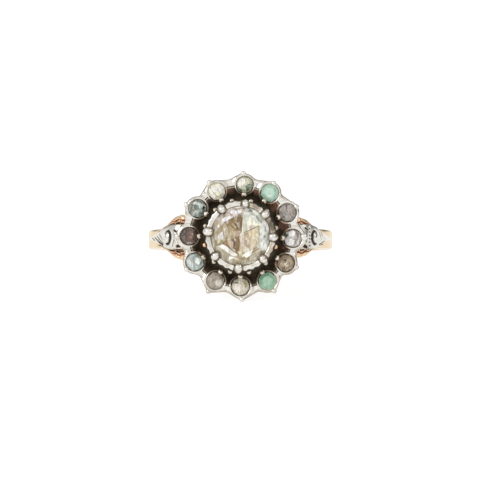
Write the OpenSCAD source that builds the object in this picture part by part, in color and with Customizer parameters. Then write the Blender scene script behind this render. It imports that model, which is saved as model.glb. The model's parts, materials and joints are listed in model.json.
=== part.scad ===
// Antique cluster ring: a rose-cut centre stone in a clawed collet, ringed by twelve
// small round stones in a scalloped silver star, on a gold band with split shoulders.
// The ring lies on its side, as it rests on a table: it stands on the lowest tip of
// the star and on the far edge of the band. All sizes are in millimetres.

/* [Finger loop] */
// Inside diameter of the finger loop
finger_dia = 17.3; // [15:0.1:21]
// Radial thickness of the band
band_t = 1.45; // [1.2:0.05:1.9]
// Width of the band along the finger
band_w = 2.06; // [1.6:0.02:2.8]
// Rounding of the outer edges of the band
band_edge_r = 0.3; // [0.15:0.05:0.5]
// Thickness that the band thins to under the head
rail_t = 0.5; // [0.4:0.05:0.6]
// Angle from the head at which the band starts to thin
thin_angle = 60; // [50:1:66]

/* [Shoulders] */
// Angle from the head at which the band parts into two arms
split_angle = 68; // [62:1:74]
// Angle by which the arms leave the round of the band
arm_flare = 13; // [11:0.5:16]
// Distance from the middle of the band to each arm, at the head
arm_spread = 1.86; // [1.7:0.02:2.2]
// Widest part of an arm
arm_w = 1.15; // [0.9:0.05:1.3]
// Thickness of an arm
arm_t = 0.75; // [0.6:0.05:0.85]
// Half width of the carved scroll at the head
scroll_spread = 1.1; // [0.8:0.05:1.3]
// Thickness of the carved scroll
scroll_t = 0.4; // [0.3:0.05:0.5]

/* [Under the head] */
// Thickness of the gold gallery ring over the finger
gallery_t = 0.75; // [0.7:0.05:1]
// Width of the gallery ring
gallery_w = 2.2; // [1.9:0.1:2.5]
// Relief of the gallery ring from the finger
gallery_relief = 0.25; // [0.2:0.05:0.3]

/* [Cluster] */
// Number of small stones round the centre
stone_count = 12; // [12]
// Diameter of a small stone
small_dia = 1.92; // [1.7:0.02:2]
// Height of a small stone above its girdle
small_crown = 0.34; // [0.25:0.01:0.4]
// Depth of a small stone below its girdle
small_depth = 0.62; // [0.5:0.01:0.7]
// Wall of a cup round its stone
cup_wall = 0.2; // [0.16:0.01:0.24]
// Height of the cups, from the gallery to the face of the star
cup_h = 1.6; // [1.4:0.05:2]
// Thickness of the silver floor
floor_t = 0.4; // [0.3:0.05:0.5]
// Thickness of the face plate of the star
plate_t = 0.4; // [0.3:0.05:0.5]
// How far the cup rims stand above the face plate
rim_h = 0.12; // [0.08:0.01:0.16]
// Diameter of the bead on each tip of the star
tip_dia = 0.62; // [0.5:0.02:0.7]
// How far a tip bead stands out past its cup
tip_out = 0.26; // [0.2:0.01:0.3]
// How far the valleys of the star stand out past the middles of the stones
valley_out = 0.7; // [0.5:0.05:0.8]
// Width of the trench between the cups and the collet
trench_w = 0.63; // [0.55:0.01:0.8]
// Width of the inner claws
inner_claw_w = 0.56; // [0.5:0.02:0.6]
// Diameter of the beads on the lower tier
tier_bead_dia = 0.5; // [0.44:0.02:0.54]

/* [Centre] */
// Diameter of the centre stone
centre_dia = 6.6; // [6:0.1:7.4]
// Height of the centre stone above its girdle
centre_crown = 1.4; // [1.1:0.05:1.8]
// Thickness of the edge of the centre stone
centre_edge = 0.12; // [0.1:0.01:0.16]
// Number of facets that meet at the top of the centre stone
rose_sides = 6; // [6]
// Wall of the collet round the centre stone
collet_wall = 0.4; // [0.36:0.02:0.5]
// Height of the collet rim above the face of the star
collet_rise = 2.4; // [2:0.1:3]
// Depth of the centre stone's seat below the collet rim
collet_seat = 0.45; // [0.4:0.02:0.55]
// Number of claws on the collet
claw_count = 8; // [8]
// Diameter of a claw
claw_dia = 0.84; // [0.74:0.02:0.88]

/* [Fits] */
// Gap between a stone and its setting, and between silver and gold
seat_gap = 0.04; // [0.03:0.01:0.06]

/* [Hidden] */
$fn = 48;

// Heights above the middle of the finger loop
finger_r = finger_dia / 2;
band_r = finger_r + band_t;
gallery_z = finger_r + gallery_t;
base_z = gallery_z + seat_gap;
floor_z = base_z + floor_t;
star_z = base_z + cup_h;
collet_z = star_z + collet_rise;
seat_z = collet_z - collet_seat;
girdle_z = seat_z + centre_edge;

// Distances from the axis of the head
centre_r = centre_dia / 2;
collet_r = centre_r + collet_wall;
small_r = small_dia / 2;
cup_r = small_r + seat_gap + cup_wall;
pitch_r = collet_r + trench_w + cup_r;
tip_r = pitch_r + cup_r + tip_out - tip_dia / 2;
gallery_r = pitch_r - cup_r / 2;
hole_r = gallery_r - gallery_w;
claw_r = collet_r - claw_dia * 0.38;
claw_lift = claw_dia * 0.12;
waist_r = collet_r * 0.865;
collet_skin = 0.35;

// Each stone's turn from the even pitch, in degrees, its size as a share, and how far it
// sits out from the even ring, as a share of its cup's radius: set by hand
SEATS = [[4.8, 0.94, 0], [3.8, 1, 0.04], [3, 1.02, 0.05], [2, 1, 0.025], [0.3, 0.98, 0.04],
         [-1.3, 1, 0], [0, 1.02, -0.18], [-0.6, 0.98, -0.12], [0.8, 1, 0.025],
         [0.4, 0.98, -0.065], [3.3, 1, -0.085], [2.3, 0.96, -0.09]];
turn_col = 0;
size_col = 1;
out_col = 2;
// Each claw's turn from the even pitch, in degrees
CLAW_TURNS = [8.6, 4.5, 2.7, 0.8, 3.7, 5.8, 7, 9.5];
// Turn of the lower tier beads from the stones
tier_turn = 16.5;

// The ring leans until its lowest tip bead and the far edge of the band touch the table
tip_z = star_z;
lean_along = tip_z + band_r - band_edge_r;
lean_across = tip_r - band_w / 2 + band_edge_r;
lean = atan2(lean_across, lean_along)
     + asin((tip_dia / 2 - band_edge_r) / norm([lean_along, lean_across]));
rest_z = band_edge_r + (band_w / 2 - band_edge_r) * cos(lean) + (band_r - band_edge_r) * sin(lean);

// The origin lies under the middle of the ring's length
front_y = claw_r * sin(lean) + (collet_z + claw_lift) * cos(lean) + claw_dia / 2;
far_y = band_edge_r + (band_r - band_edge_r) * cos(lean) + (band_w / 2 - band_edge_r) * sin(lean);
mid_y = (front_y - far_y) / 2;

// The head's axis lies nearly level in the resting pose: it points to -Y and a little up
module resting() {
    translate([0, mid_y, rest_z]) rotate([90 - lean, 0, 0]) children();
}

// A piece placed round the head, clockwise from the top of the picture
module round_head(turn, r, z) {
    rotate([0, 0, -turn]) translate([0, r, z]) children();
}

function seat_turn(i) = i * 360 / stone_count + SEATS[i][turn_col];
function seat_scale(i) = SEATS[i][size_col];
function seat_r(i) = pitch_r + SEATS[i][out_col] * cup_r;

// Cylinder along the finger, for the loop and what is cut to its round
module along_finger(r, length) {
    rotate([90, 0, 0]) cylinder(h = length, r = r, center = true, $fn = 96);
}

// Outline of the band, thick on the finger and rounded outside
module band_section() {
    half = band_w / 2;
    inner = finger_r - band_edge_r;
    function edge_point(side, a) =
        [band_r - band_edge_r * (1 - sin(a)), side * (half - band_edge_r * (1 - cos(a)))];
    polygon(concat(
        [[inner, -half]],
        [for (a = [0 : 30 : 90]) edge_point(-1, a)],
        [for (a = [90 : -30 : 0]) edge_point(1, a)],
        [[inner, half]]));
}

// A larger round, set lower, thins the band evenly towards the head
thin_r = finger_r + rail_t;
thin_drop = (band_r * band_r - thin_r * thin_r) / (2 * (thin_r - band_r * cos(thin_angle)));

module band() {
    intersection() {
        rotate([90, 0, 0]) rotate_extrude($fn = 96) band_section();
        translate([0, 0, -thin_drop]) along_finger(thin_r + thin_drop, 2 * band_w);
    }
}

module gallery() {
    difference() {
        cylinder(h = gallery_z, r1 = gallery_r - gallery_w / 2, r2 = gallery_r);
        along_finger(finger_r + gallery_relief, 3 * gallery_r);
        cylinder(h = 3 * gallery_z, r = hole_r, center = true);
    }
}

// Path of an arm, seen along the finger: a curve from inside the band to the gallery
arm_start_r = band_r - arm_t * 0.45;
arm_start = arm_start_r * [sin(split_angle), cos(split_angle)];
arm_end = [gallery_r - gallery_w / 2, gallery_z - arm_t * 0.42];
arm_lift = arm_end[1] - arm_start[1];
arm_knee = [arm_start[0] - arm_lift * tan(90 - split_angle - arm_flare), arm_end[1]];
function arm_at(t) =
    (1 - t) * (1 - t) * arm_start + 2 * t * (1 - t) * arm_knee + t * t * arm_end;
function arm_way(t) =
    let (d = (1 - t) * (arm_knee - arm_start) + t * (arm_end - arm_knee)) d / norm(d);

// Sections of an arm: place on the path, then its spread, width and thickness as shares
ARM = [[0, 0.43, 0.35, 0.5], [0.14, 0.53, 0.37, 0.7], [0.28, 0.67, 0.4, 0.85],
       [0.42, 0.85, 0.52, 0.95], [0.54, 0.96, 0.85, 1], [0.64, 1, 1, 1],
       [0.8, 0.93, 0.65, 0.7], [1, 0.75, 0.48, 0.5]];
// Outline of an arm as shares of its width and thickness, with a ridge outside
RIDGE = [[-0.5, 0], [-0.4, 0.3], [-0.12, 0.42], [0, 0.5], [0.12, 0.42], [0.4, 0.3],
         [0.5, 0], [0.35, -0.45], [-0.35, -0.45]];

// Closed solid through rings of points, each ring with the same number of points
module loft(rings) {
    n = len(rings[0]);
    last = len(rings) - 1;
    polyhedron(
        points = [for (ring = rings) each ring],
        faces = concat(
            [[for (j = [0 : n - 1]) j]],
            [for (i = [0 : last - 1], j = [0 : n - 1])
                each [[i * n + j, (i + 1) * n + j, i * n + (j + 1) % n],
                      [i * n + (j + 1) % n, (i + 1) * n + j, (i + 1) * n + (j + 1) % n]]],
            [[for (j = [n - 1 : -1 : 0]) last * n + j]]));
}

// Point off a path seen along the finger: across is along the finger, out is off the path
function off_path(at, way, across, out) =
    [at[0] + way[1] * out, across, at[1] - way[0] * out];

module arm() {
    loft([for (s = ARM)
        let (at = arm_at(s[0]), way = arm_way(s[0]))
        [for (p = RIDGE)
            off_path(at, way, arm_spread * s[1] + p[0] * arm_w * s[2], p[1] * arm_t * s[3])]]);
}

module gold_shank() {
    color([0.86, 0.66, 0.45]) resting() {
        difference() {
            band();
            along_finger(finger_r, 3 * band_w);
            cylinder(h = 3 * gallery_z, r = hole_r);
        }
        gallery();
        for (side = [0, 1], edge = [0, 1])
            mirror([side, 0, 0]) mirror([0, edge, 0]) arm();
    }
}

// Path of a scroll: it lies on the band, then rises over the gap between the arms
scroll_start_angle = split_angle + 5;
scroll_r = band_r + seat_gap + scroll_t / 2;
scroll_start = scroll_r * [sin(scroll_start_angle), cos(scroll_start_angle)];
scroll_end = [pitch_r + cup_r + seat_gap, star_z - plate_t - scroll_t * 0.8];
scroll_lift = scroll_end[1] - scroll_start[1];
scroll_knee = [scroll_start[0] - scroll_lift * 0.13, scroll_start[1] + scroll_lift * 0.62];
function scroll_at(t) =
    (1 - t) * (1 - t) * scroll_start + 2 * t * (1 - t) * scroll_knee + t * t * scroll_end;
function scroll_way(t) =
    let (d = (1 - t) * (scroll_knee - scroll_start) + t * (scroll_end - scroll_knee)) d / norm(d);
// Sections of a scroll: place on the path, then its half width and thickness as shares
SCROLL = [[0, 0.12, 0.4], [0.2, 0.34, 0.7], [0.4, 0.58, 0.9], [0.6, 0.84, 1], [0.8, 1, 1],
          [1, 0.96, 1]];
// Outline of a scroll as shares of its width and thickness, with a raised middle
CUSHION = [[-1, -0.5], [-1, 0.1], [-0.6, 0.4], [0, 0.5], [0.6, 0.4], [1, 0.1], [1, -0.5]];

module scroll_plate() {
    loft([for (s = SCROLL)
        let (at = scroll_at(s[0]), way = scroll_way(s[0]))
        [for (p = CUSHION)
            off_path(at, way, scroll_spread * s[1] * p[0],
                     scroll_t * ((p[1] + 0.5) * s[2] - 0.5))]]);
}

// A raised detail on the face of a scroll, seen square on, with its own -X towards the head
module on_scroll(t, across, out) {
    at = off_path(scroll_at(t), scroll_way(t), across, out);
    translate(at) rotate([0, atan2(scroll_way(t)[1], -scroll_way(t)[0]), 0]) children();
}

// Raised work of a scroll: an open curl, slanting strokes towards the tip and a row of grains
curl_r = scroll_spread * 0.45;
curl_wire = scroll_t * 0.34;
STROKES = [0.26, 0.35, 0.44];
GRAINS = [-0.72, -0.36, 0, 0.36, 0.72];

module scroll() {
    scroll_plate();
    on_scroll(0.66, 0, scroll_t * 0.42)
        rotate([0, 0, 40]) rotate_extrude(angle = 280, $fn = 32)
            translate([curl_r, 0]) circle(r = curl_wire, $fn = 16);
    for (t = STROKES)
        on_scroll(t, 0, scroll_t * 0.4) rotate([0, 0, 32])
            cube([curl_wire, scroll_spread * t * 1.5, curl_wire * 1.6], center = true);
    for (g = GRAINS)
        on_scroll(0.9, g * scroll_spread, scroll_t * (0.44 - 0.2 * abs(g)))
            sphere(r = curl_wire, $fn = 16);
}

module shoulder_scroll_right() {
    color([0.86, 0.87, 0.88]) resting() scroll();
}

module shoulder_scroll_left() {
    color([0.86, 0.87, 0.88]) resting() mirror([1, 0, 0]) scroll();
}

// Bowl and collet in one turned outline, closed behind the centre stone
module bowl_section() {
    polygon([
        [hole_r, base_z],
        [gallery_r, base_z],
        [pitch_r + cup_r * 0.35, star_z - plate_t * 0.6],
        [pitch_r - cup_r * 0.25, star_z - plate_t * 0.6],
        [collet_r + trench_w * 0.85, floor_z],
        [waist_r + 0.1, floor_z],
        [waist_r, star_z - plate_t],
        [waist_r + 0.12, star_z + collet_rise * 0.5],
        [collet_r, collet_z - collet_seat * 1.4],
        [collet_r, collet_z - 0.08],
        [collet_r - 0.08, collet_z],
        [0, collet_z],
        [0, seat_z - collet_skin],
        [waist_r - collet_skin, seat_z - collet_skin * 2],
        [hole_r, star_z]]);
}

// Face of the star: round scallops about the stones, joined by webs
module star_face() {
    linear_extrude(plate_t) difference() {
        union() {
            for (i = [0 : stone_count - 1])
                rotate(-seat_turn(i)) translate([0, seat_r(i)])
                    circle(r = cup_r * seat_scale(i));
            polygon([for (i = [0 : stone_count - 1])
                let (a = i * 360 / stone_count, half = 180 / stone_count)
                each [(tip_r - tip_dia * 0.2) * [sin(a), cos(a)],
                      (pitch_r * cos(half) + valley_out) * [sin(a + half), cos(a + half)]]]);
        }
        circle(r = pitch_r - cup_r * 0.15);
    }
}

// A cup tapers down to the gallery
module cup(size) {
    rotate_extrude() polygon([
        [0, base_z], [cup_r * 0.6, base_z],
        [cup_r * size, star_z - plate_t * 0.8],
        [cup_r * size, star_z + rim_h], [0, star_z + rim_h]]);
}

// Room for a small stone: its round, its crown under the claws and its point
module small_room(size) {
    room_r = small_r * size + seat_gap;
    slope = small_crown / (small_r * 0.45);
    up = small_r * 0.45 + seat_gap;
    translate([0, 0, star_z - seat_gap]) cylinder(h = 2 * seat_gap, r = room_r);
    translate([0, 0, star_z + seat_gap])
        cylinder(h = up * slope, r1 = room_r, r2 = room_r - up);
    translate([0, 0, star_z - 2 * seat_gap - small_depth])
        cylinder(h = small_depth + seat_gap, r1 = seat_gap, r2 = room_r);
}

module centre_room() {
    room_r = centre_r + seat_gap;
    translate([0, 0, seat_z - seat_gap]) cylinder(h = centre_edge + 2 * seat_gap, r = room_r);
    translate([0, 0, girdle_z + seat_gap])
        cylinder(h = centre_crown, r1 = room_r, r2 = room_r - centre_crown / rose_slope);
}

module post(r, top, bead_r) {
    translate([0, 0, floor_z - floor_t / 2]) cylinder(h = top - floor_z + floor_t / 2, r = r, $fn = 24);
    translate([0, 0, top]) sphere(r = bead_r, $fn = 24);
}

module cluster_setting() {
    color([0.82, 0.83, 0.84]) resting() difference() {
        union() {
            rotate_extrude($fn = 72) bowl_section();
            translate([0, 0, star_z - plate_t]) star_face();
            for (i = [0 : stone_count - 1]) {
                even = i * 360 / stone_count;
                round_head(seat_turn(i), seat_r(i), 0) cup(seat_scale(i));
                round_head(even, tip_r, tip_z) sphere(r = tip_dia / 2, $fn = 24);
                round_head(seat_turn(i), seat_r(i) - cup_r, 0)
                    post(inner_claw_w * 0.4, star_z + rim_h, inner_claw_w / 2);
                round_head(even + tier_turn, collet_r + tier_bead_dia * 0.45, 0)
                    post(tier_bead_dia * 0.35, star_z + rim_h, tier_bead_dia / 2);
            }
            for (i = [0 : claw_count - 1])
                round_head(i * 360 / claw_count + CLAW_TURNS[i], claw_r, collet_z + claw_lift)
                    sphere(r = claw_dia / 2, $fn = 32);
        }
        centre_room();
        for (i = [0 : stone_count - 1])
            round_head(seat_turn(i), seat_r(i), 0) small_room(seat_scale(i));
    }
}

// Points of a rose cut: rings of corners from the flat back to the top
hex_r = 0.64;
hex_rise = 0.6;
rose_slope = centre_crown * hex_rise / (centre_r * (1 - hex_r));

function ring_at(n, r, z, turn) = [for (k = [0 : n - 1])
    [r * sin(turn + k * 360 / n), r * cos(turn + k * 360 / n), z]];

// Rose cut with a flat back: triangles down from a six-sided star to a twelve-sided edge
module rose_cut(r, edge, crown, sides) {
    rim = 2 * sides;
    top = 2 * rim + sides;
    polyhedron(
        points = concat(
            ring_at(rim, r, 0, 0), ring_at(rim, r, edge, 0),
            ring_at(sides, r * hex_r, edge + crown * hex_rise, 0), [[0, 0, edge + crown]]),
        faces = concat(
            [[for (k = [rim - 1 : -1 : 0]) k]],
            [for (k = [0 : rim - 1]) [k, (k + 1) % rim, rim + (k + 1) % rim, rim + k]],
            [for (k = [0 : sides - 1])
                let (h = 2 * rim + k, next = 2 * rim + (k + 1) % sides,
                     at = rim + 2 * k, mid = rim + 2 * k + 1,
                     before = rim + (2 * k + rim - 1) % rim)
                each [[h, before, at], [h, at, mid], [h, mid, next], [h, next, top]]]));
}

// Stones turn a little in their seats
centre_turn = 4;

module centre_stone() {
    color([0.88, 0.83, 0.72]) resting()
        translate([0, 0, seat_z]) rotate([0, 0, -centre_turn])
            rose_cut(centre_r, centre_edge, centre_crown, rose_sides);
}

// Round single cut: an eight-sided table, eight crown facets and eight below
small_sides = 8;
small_table = 0.55;
small_edge = 0.04;

module single_cut(size) {
    n = small_sides;
    r = small_r * size;
    below = 3 * n;
    polyhedron(
        points = concat(
            ring_at(n, r, -small_edge / 2, 0), ring_at(n, r, small_edge / 2, 0),
            ring_at(n, r * small_table, small_crown, 0), [[0, 0, -small_depth]]),
        faces = concat(
            [for (k = [0 : n - 1]) [below, (k + 1) % n, k]],
            [for (ring = [0, n], k = [0 : n - 1])
                [ring + k, ring + (k + 1) % n, ring + n + (k + 1) % n, ring + n + k]],
            [[for (k = [0 : n - 1]) 2 * n + k]]));
}

STONE_COLOURS = [[0.8, 0.79, 0.68], [0.6, 0.78, 0.7], [0.5, 0.46, 0.42], [0.9, 0.91, 0.91],
                 [0.55, 0.49, 0.42], [0.5, 0.7, 0.58], [0.74, 0.71, 0.62], [0.58, 0.54, 0.48],
                 [0.7, 0.8, 0.75], [0.5, 0.44, 0.4], [0.6, 0.65, 0.6], [0.85, 0.85, 0.75]];

module cluster_stone(i) {
    color(STONE_COLOURS[i]) resting()
        round_head(seat_turn(i), seat_r(i), star_z) single_cut(seat_scale(i));
}

gold_shank();
shoulder_scroll_left();
shoulder_scroll_right();
cluster_setting();
centre_stone();
cluster_stone(0);  // cluster_stone_01
cluster_stone(1);  // cluster_stone_02
cluster_stone(2);  // cluster_stone_03
cluster_stone(3);  // cluster_stone_04
cluster_stone(4);  // cluster_stone_05
cluster_stone(5);  // cluster_stone_06
cluster_stone(6);  // cluster_stone_07
cluster_stone(7);  // cluster_stone_08
cluster_stone(8);  // cluster_stone_09
cluster_stone(9);  // cluster_stone_10
cluster_stone(10);  // cluster_stone_11
cluster_stone(11);  // cluster_stone_12
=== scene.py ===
import json
from math import atan2, cos, hypot, pi, radians, sin, sqrt, tan

import bmesh
import bpy
import numpy as np
from mathutils import Matrix


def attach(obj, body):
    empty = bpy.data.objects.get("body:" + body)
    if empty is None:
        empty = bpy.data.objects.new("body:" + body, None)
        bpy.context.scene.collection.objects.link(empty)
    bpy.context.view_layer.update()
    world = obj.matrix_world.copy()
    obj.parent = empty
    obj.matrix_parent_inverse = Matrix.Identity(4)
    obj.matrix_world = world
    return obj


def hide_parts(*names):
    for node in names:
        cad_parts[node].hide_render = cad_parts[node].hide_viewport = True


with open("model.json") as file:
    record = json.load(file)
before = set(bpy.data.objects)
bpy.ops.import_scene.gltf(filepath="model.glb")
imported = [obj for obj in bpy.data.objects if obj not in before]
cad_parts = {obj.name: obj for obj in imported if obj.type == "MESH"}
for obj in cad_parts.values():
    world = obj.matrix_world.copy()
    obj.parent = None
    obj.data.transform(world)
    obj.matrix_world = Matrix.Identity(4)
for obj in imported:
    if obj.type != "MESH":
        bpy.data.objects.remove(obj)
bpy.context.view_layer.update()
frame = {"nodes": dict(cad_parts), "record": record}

# Gold band
# The hoop that goes round the finger: 14 carat gold, forged and filed to a flat oval with
# soft edges, thinned to a rail where it runs under the head. The shoulders and the gallery
# are soldered to it.

# The ring's own frame, in millimetres: X to the right, Y along the finger, Z out of the head
finger_bore = next(m for m in frame["record"]["mounts"] if m["name"] == "finger_bore")
finger_axis = np.array(finger_bore["axis"], float)
ring_turn = Matrix.Rotation(atan2(finger_axis[2], finger_axis[1]), 4, "X")
ring_place = Matrix.Translation(finger_bore["pos_m"]) @ ring_turn @ Matrix.Scale(0.001, 4)


def linear(hex_colour):
    """An sRGB hex colour as linear red, green, blue and alpha."""
    parts = [int(hex_colour[i:i + 2], 16) / 255 for i in (1, 3, 5)]
    return [c / 12.92 if c <= 0.04045 else ((c + 0.055) / 1.055) ** 2.4 for c in parts] + [1.0]


def add_node(tree, kind, links=None, **settings):
    """Adds a node, sets its properties or its sockets by name, and links its inputs."""
    node = tree.nodes.new(kind)
    for name, value in settings.items():
        if hasattr(node, name):
            setattr(node, name, value)
    for name, value in (links or {}).items():
        socket = node.inputs[name]
        if isinstance(value, bpy.types.NodeSocket):
            tree.links.new(value, socket)
        else:
            socket.default_value = value
    return node


def new_material(name):
    """An empty node material, its tree, and the place on the ring in millimetres."""
    material = bpy.data.materials.new(name)
    material.use_nodes = True
    tree = material.node_tree
    tree.nodes.clear()
    here = add_node(tree, "ShaderNodeTexCoord").outputs["Object"]
    turned = add_node(tree, "ShaderNodeMapping", {
        "Vector": here, "Location": finger_bore["pos_m"], "Rotation": ring_turn.to_euler(),
        "Scale": (0.001, 0.001, 0.001)}, vector_type="TEXTURE")
    return material, tree, turned.outputs["Vector"]


def ramp(tree, value, low, high, start=0.0, end=1.0):
    """A value eased from one range to another, held at its ends."""
    return add_node(tree, "ShaderNodeMapRange", {
        "Value": value, "From Min": low, "From Max": high, "To Min": start, "To Max": end},
        interpolation_type="SMOOTHSTEP").outputs["Result"]


def mix(tree, share, first, second):
    """Two colours mixed by a share."""
    node = add_node(tree, "ShaderNodeMix", data_type="RGBA")
    for socket, value in zip((node.inputs[0], node.inputs[6], node.inputs[7]),
                             (share, first, second)):
        if isinstance(value, bpy.types.NodeSocket):
            tree.links.new(value, socket)
        else:
            socket.default_value = linear(value) if isinstance(value, str) else value
    return node.outputs[2]


def grain(tree, place, per_mm, detail=3.0, roughness=0.5):
    """Soft noise with a given number of grains to the millimetre."""
    return add_node(tree, "ShaderNodeTexNoise", {
        "Vector": place, "Scale": per_mm, "Detail": detail, "Roughness": roughness},
        noise_dimensions="3D").outputs["Fac"]


def carried(tree, name):
    """A value that the mesh carries on its points."""
    return add_node(tree, "ShaderNodeAttribute", attribute_name=name).outputs["Fac"]


def total(tree, first, second):
    """Two values added."""
    return add_node(tree, "ShaderNodeMath", {0: first, 1: second}, operation="ADD").outputs[0]


def finish_material(tree, colour, rough, metal=0.0, bump=None, bump_depth=0.0, **sockets):
    """Ends a tree in a Principled surface, with a bump whose depth is in millimetres."""
    given = {"Base Color": colour, "Roughness": rough, "Metallic": metal}
    given.update({name.replace("_", " "): value for name, value in sockets.items()})
    if bump is not None:
        given["Normal"] = add_node(tree, "ShaderNodeBump", {
            "Height": bump, "Strength": 1.0, "Distance": bump_depth * 0.001}).outputs["Normal"]
    surface = add_node(tree, "ShaderNodeBsdfPrincipled", given)
    add_node(tree, "ShaderNodeOutputMaterial", {"Surface": surface.outputs["BSDF"]})


def quads(rows, columns, closed_rows=False, closed_columns=True, start=0):
    """The faces of a grid of points, row by row."""
    faces = []
    for i in range(rows if closed_rows else rows - 1):
        for j in range(columns if closed_columns else columns - 1):
            k, n = (i + 1) % rows, (j + 1) % columns
            faces.append([start + i * columns + j, start + i * columns + n,
                          start + k * columns + n, start + k * columns + j])
    return faces


def end_caps(rows, columns):
    """The two faces that close the ends of a grid of points."""
    return [list(range(columns)), [(rows - 1) * columns + i for i in range(columns)]]


def carry(mesh, key, numbers):
    """Puts a value on each point of a mesh."""
    mesh.attributes.new(key, "FLOAT", "POINT").data.foreach_set(
        "value", np.asarray(numbers, np.float32))


def raw_mesh(name, points, faces, smooth=True, **values):
    """A mesh in the ring's own frame, its faces turned outwards, with values on its points."""
    mesh = bpy.data.meshes.new(name)
    mesh.from_pydata(np.asarray(points, float).tolist(), [], faces)
    work = bmesh.new()
    work.from_mesh(mesh)
    bmesh.ops.recalc_face_normals(work, faces=work.faces)
    work.to_mesh(mesh)
    work.free()
    for key, numbers in values.items():
        carry(mesh, key, numbers)
    mesh.polygons.foreach_set("use_smooth", [smooth] * len(mesh.polygons))
    return mesh


def set_piece(mesh, material, slot, *nodes):
    """Puts a finished mesh on the ring as a piece that stands for its CAD nodes."""
    mesh.transform(ring_place)
    mesh.materials.clear()
    mesh.materials.append(material)
    piece = bpy.data.objects.new(mesh.name, mesh)
    bpy.context.scene.collection.objects.link(piece)
    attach(piece, "root")
    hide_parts(*nodes)
    return piece


def closed_shells(*shells):
    """Joins shells of points and faces into one list of points and one of faces."""
    points, faces = [], []
    for more_points, more_faces in shells:
        faces += [[len(points) + i for i in face] for face in more_faces]
        points += list(more_points)
    return points, faces


finger_r = 8.65
band_r = 10.1
band_half = 1.03
outer_round = 0.3
inner_round = 0.14
round_share = 0.45
outer_cuts = 5
inner_cuts = 3
flat_share = 0.6
band_crown = 0.05
band_blush = 0.14
blush_from_x = 7.5
rail_r = 9.15
thin_angle = radians(60)
thin_drop = (band_r ** 2 - rail_r ** 2) / (2 * (rail_r - band_r * cos(thin_angle)))


def band_top(angle):
    """Outer radius of the band at an angle from the head, thinned by a larger, lower round."""
    lower = rail_r + thin_drop
    thinned = -thin_drop * cos(angle) + sqrt(lower ** 2 - (thin_drop * sin(angle)) ** 2)
    return min(band_r, thinned)


def band_loop(top):
    """The band's section as radius and place along the finger."""
    outer = min(outer_round, (top - finger_r) * round_share)
    loop = []
    for side in (-1, 1):
        for step in range(outer_cuts + 1):
            turn = radians(90) * (step if side < 0 else outer_cuts - step) / outer_cuts
            loop.append((top - outer * (1 - sin(turn)) - band_crown * (1 - sin(turn)),
                         side * (band_half - outer * (1 - cos(turn)))))
        if side < 0:
            loop += [(top, y) for y in np.linspace(-flat_share, flat_share, 5) * band_half]
    for side in (1, -1):
        for step in range(inner_cuts + 1):
            turn = radians(90) * (step if side > 0 else inner_cuts - step) / inner_cuts
            loop.append((finger_r + inner_round * (1 - sin(turn)),
                         side * (band_half - inner_round * (1 - cos(turn)))))
    return loop


band_start = radians(18.5)
band_steps = 420
band_points = []
for band_angle in np.linspace(band_start, 2 * pi - band_start, band_steps):
    for r, y in band_loop(band_top(band_angle)):
        band_points.append((r * sin(band_angle), y, r * cos(band_angle)))
band_columns = len(band_points) // band_steps
band_faces = quads(band_steps, band_columns) + end_caps(band_steps, band_columns)

# 14 carat yellow gold with a rosy tinge, polished and worn by the hand: pale and warm, with
# hair-thin scratches about 0.05 mm apart and a blush of copper. Cuts hold a red-brown grime, and the
# same red-brown is painted shade where the leaves run in under the star and on a dark strip between
# each leaf and its scroll.
gold, tree, place = new_material("yellow_gold_14_carat")
# How dark each point is: the grime in its cuts, and painted shade
cut = carried(tree, "recess")
blush = carried(tree, "blush")
patches = ramp(tree, grain(tree, place, 0.55), 0.35, 0.7)
scratches = grain(tree, add_node(tree, "ShaderNodeMapping", {
    "Vector": place, "Scale": (1.5, 9.0, 1.5)}).outputs["Vector"], 2.2, 4.0, 0.7)
warm = mix(tree, blush, mix(tree, patches, "#e9d8b4", "#decaa4"), "#dfa67c")
rosy = mix(tree, ramp(tree, cut, 0.08, 0.5), warm, "#b9775a")
finish_material(
    tree, mix(tree, ramp(tree, cut, 0.45, 1.0), rosy, "#4a281c"),
    total(tree, ramp(tree, scratches, 0.3, 0.8, 0.18, 0.28), ramp(tree, cut, 0.1, 0.9, 0.0, 0.25)),
    ramp(tree, cut, 0.2, 1.0, 1.0, 0.35), scratches, 0.0012)

band_mesh = raw_mesh("gold_band", band_points, band_faces,
                     blush=[min(band_blush, max(0.0, (x - blush_from_x) * band_blush))
                            for x, _, _ in band_points])
set_piece(band_mesh, gold, "gold", "gold_shank")

# Gallery ring
# The gold ring soldered over the band, on which the silver cluster is set. It is turned from
# thick wire, filed to the round of the finger below and left smooth.
gallery_top = 9.4
gallery_r = 4.93
gallery_foot_r = 3.83
gallery_flat_r = 3.8
gallery_hollow_r = 3.7
hole_r = 2.73
gallery_relief_r = 8.9
gallery_steps = 180


def gallery_under(x):
    """Height of the filed underside, a little above the finger."""
    return sqrt(gallery_relief_r ** 2 - x ** 2)


gallery_points = []
for turn in np.linspace(0, 2 * pi, gallery_steps, endpoint=False):
    low = gallery_under(gallery_r * 0.96 * sin(turn))
    outer_low = gallery_foot_r + (gallery_r - gallery_foot_r) * low / gallery_top
    inner_low = gallery_under(hole_r * sin(turn))
    for r, z in ((hole_r, gallery_top - 0.06), (hole_r + 0.06, gallery_top),
                 (gallery_flat_r, gallery_top), (gallery_r - 0.12, gallery_top),
                 (gallery_r - 0.03, gallery_top - 0.04), (gallery_r - 0.01, gallery_top - 0.14),
                 (outer_low + 0.02, low + 0.1), (outer_low - 0.03, low + 0.02),
                 (outer_low - 0.1, low),
                 (gallery_hollow_r, gallery_under(gallery_hollow_r * sin(turn))),
                 (hole_r + 0.08, inner_low), (hole_r, inner_low + 0.08)):
        gallery_points.append((r * sin(turn), r * cos(turn), z))
gallery_columns = len(gallery_points) // gallery_steps
gallery_mesh = raw_mesh("gold_gallery", gallery_points,
                        quads(gallery_steps, gallery_columns, closed_rows=True))
set_piece(gallery_mesh, gold, "gold", "gold_shank")

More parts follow.
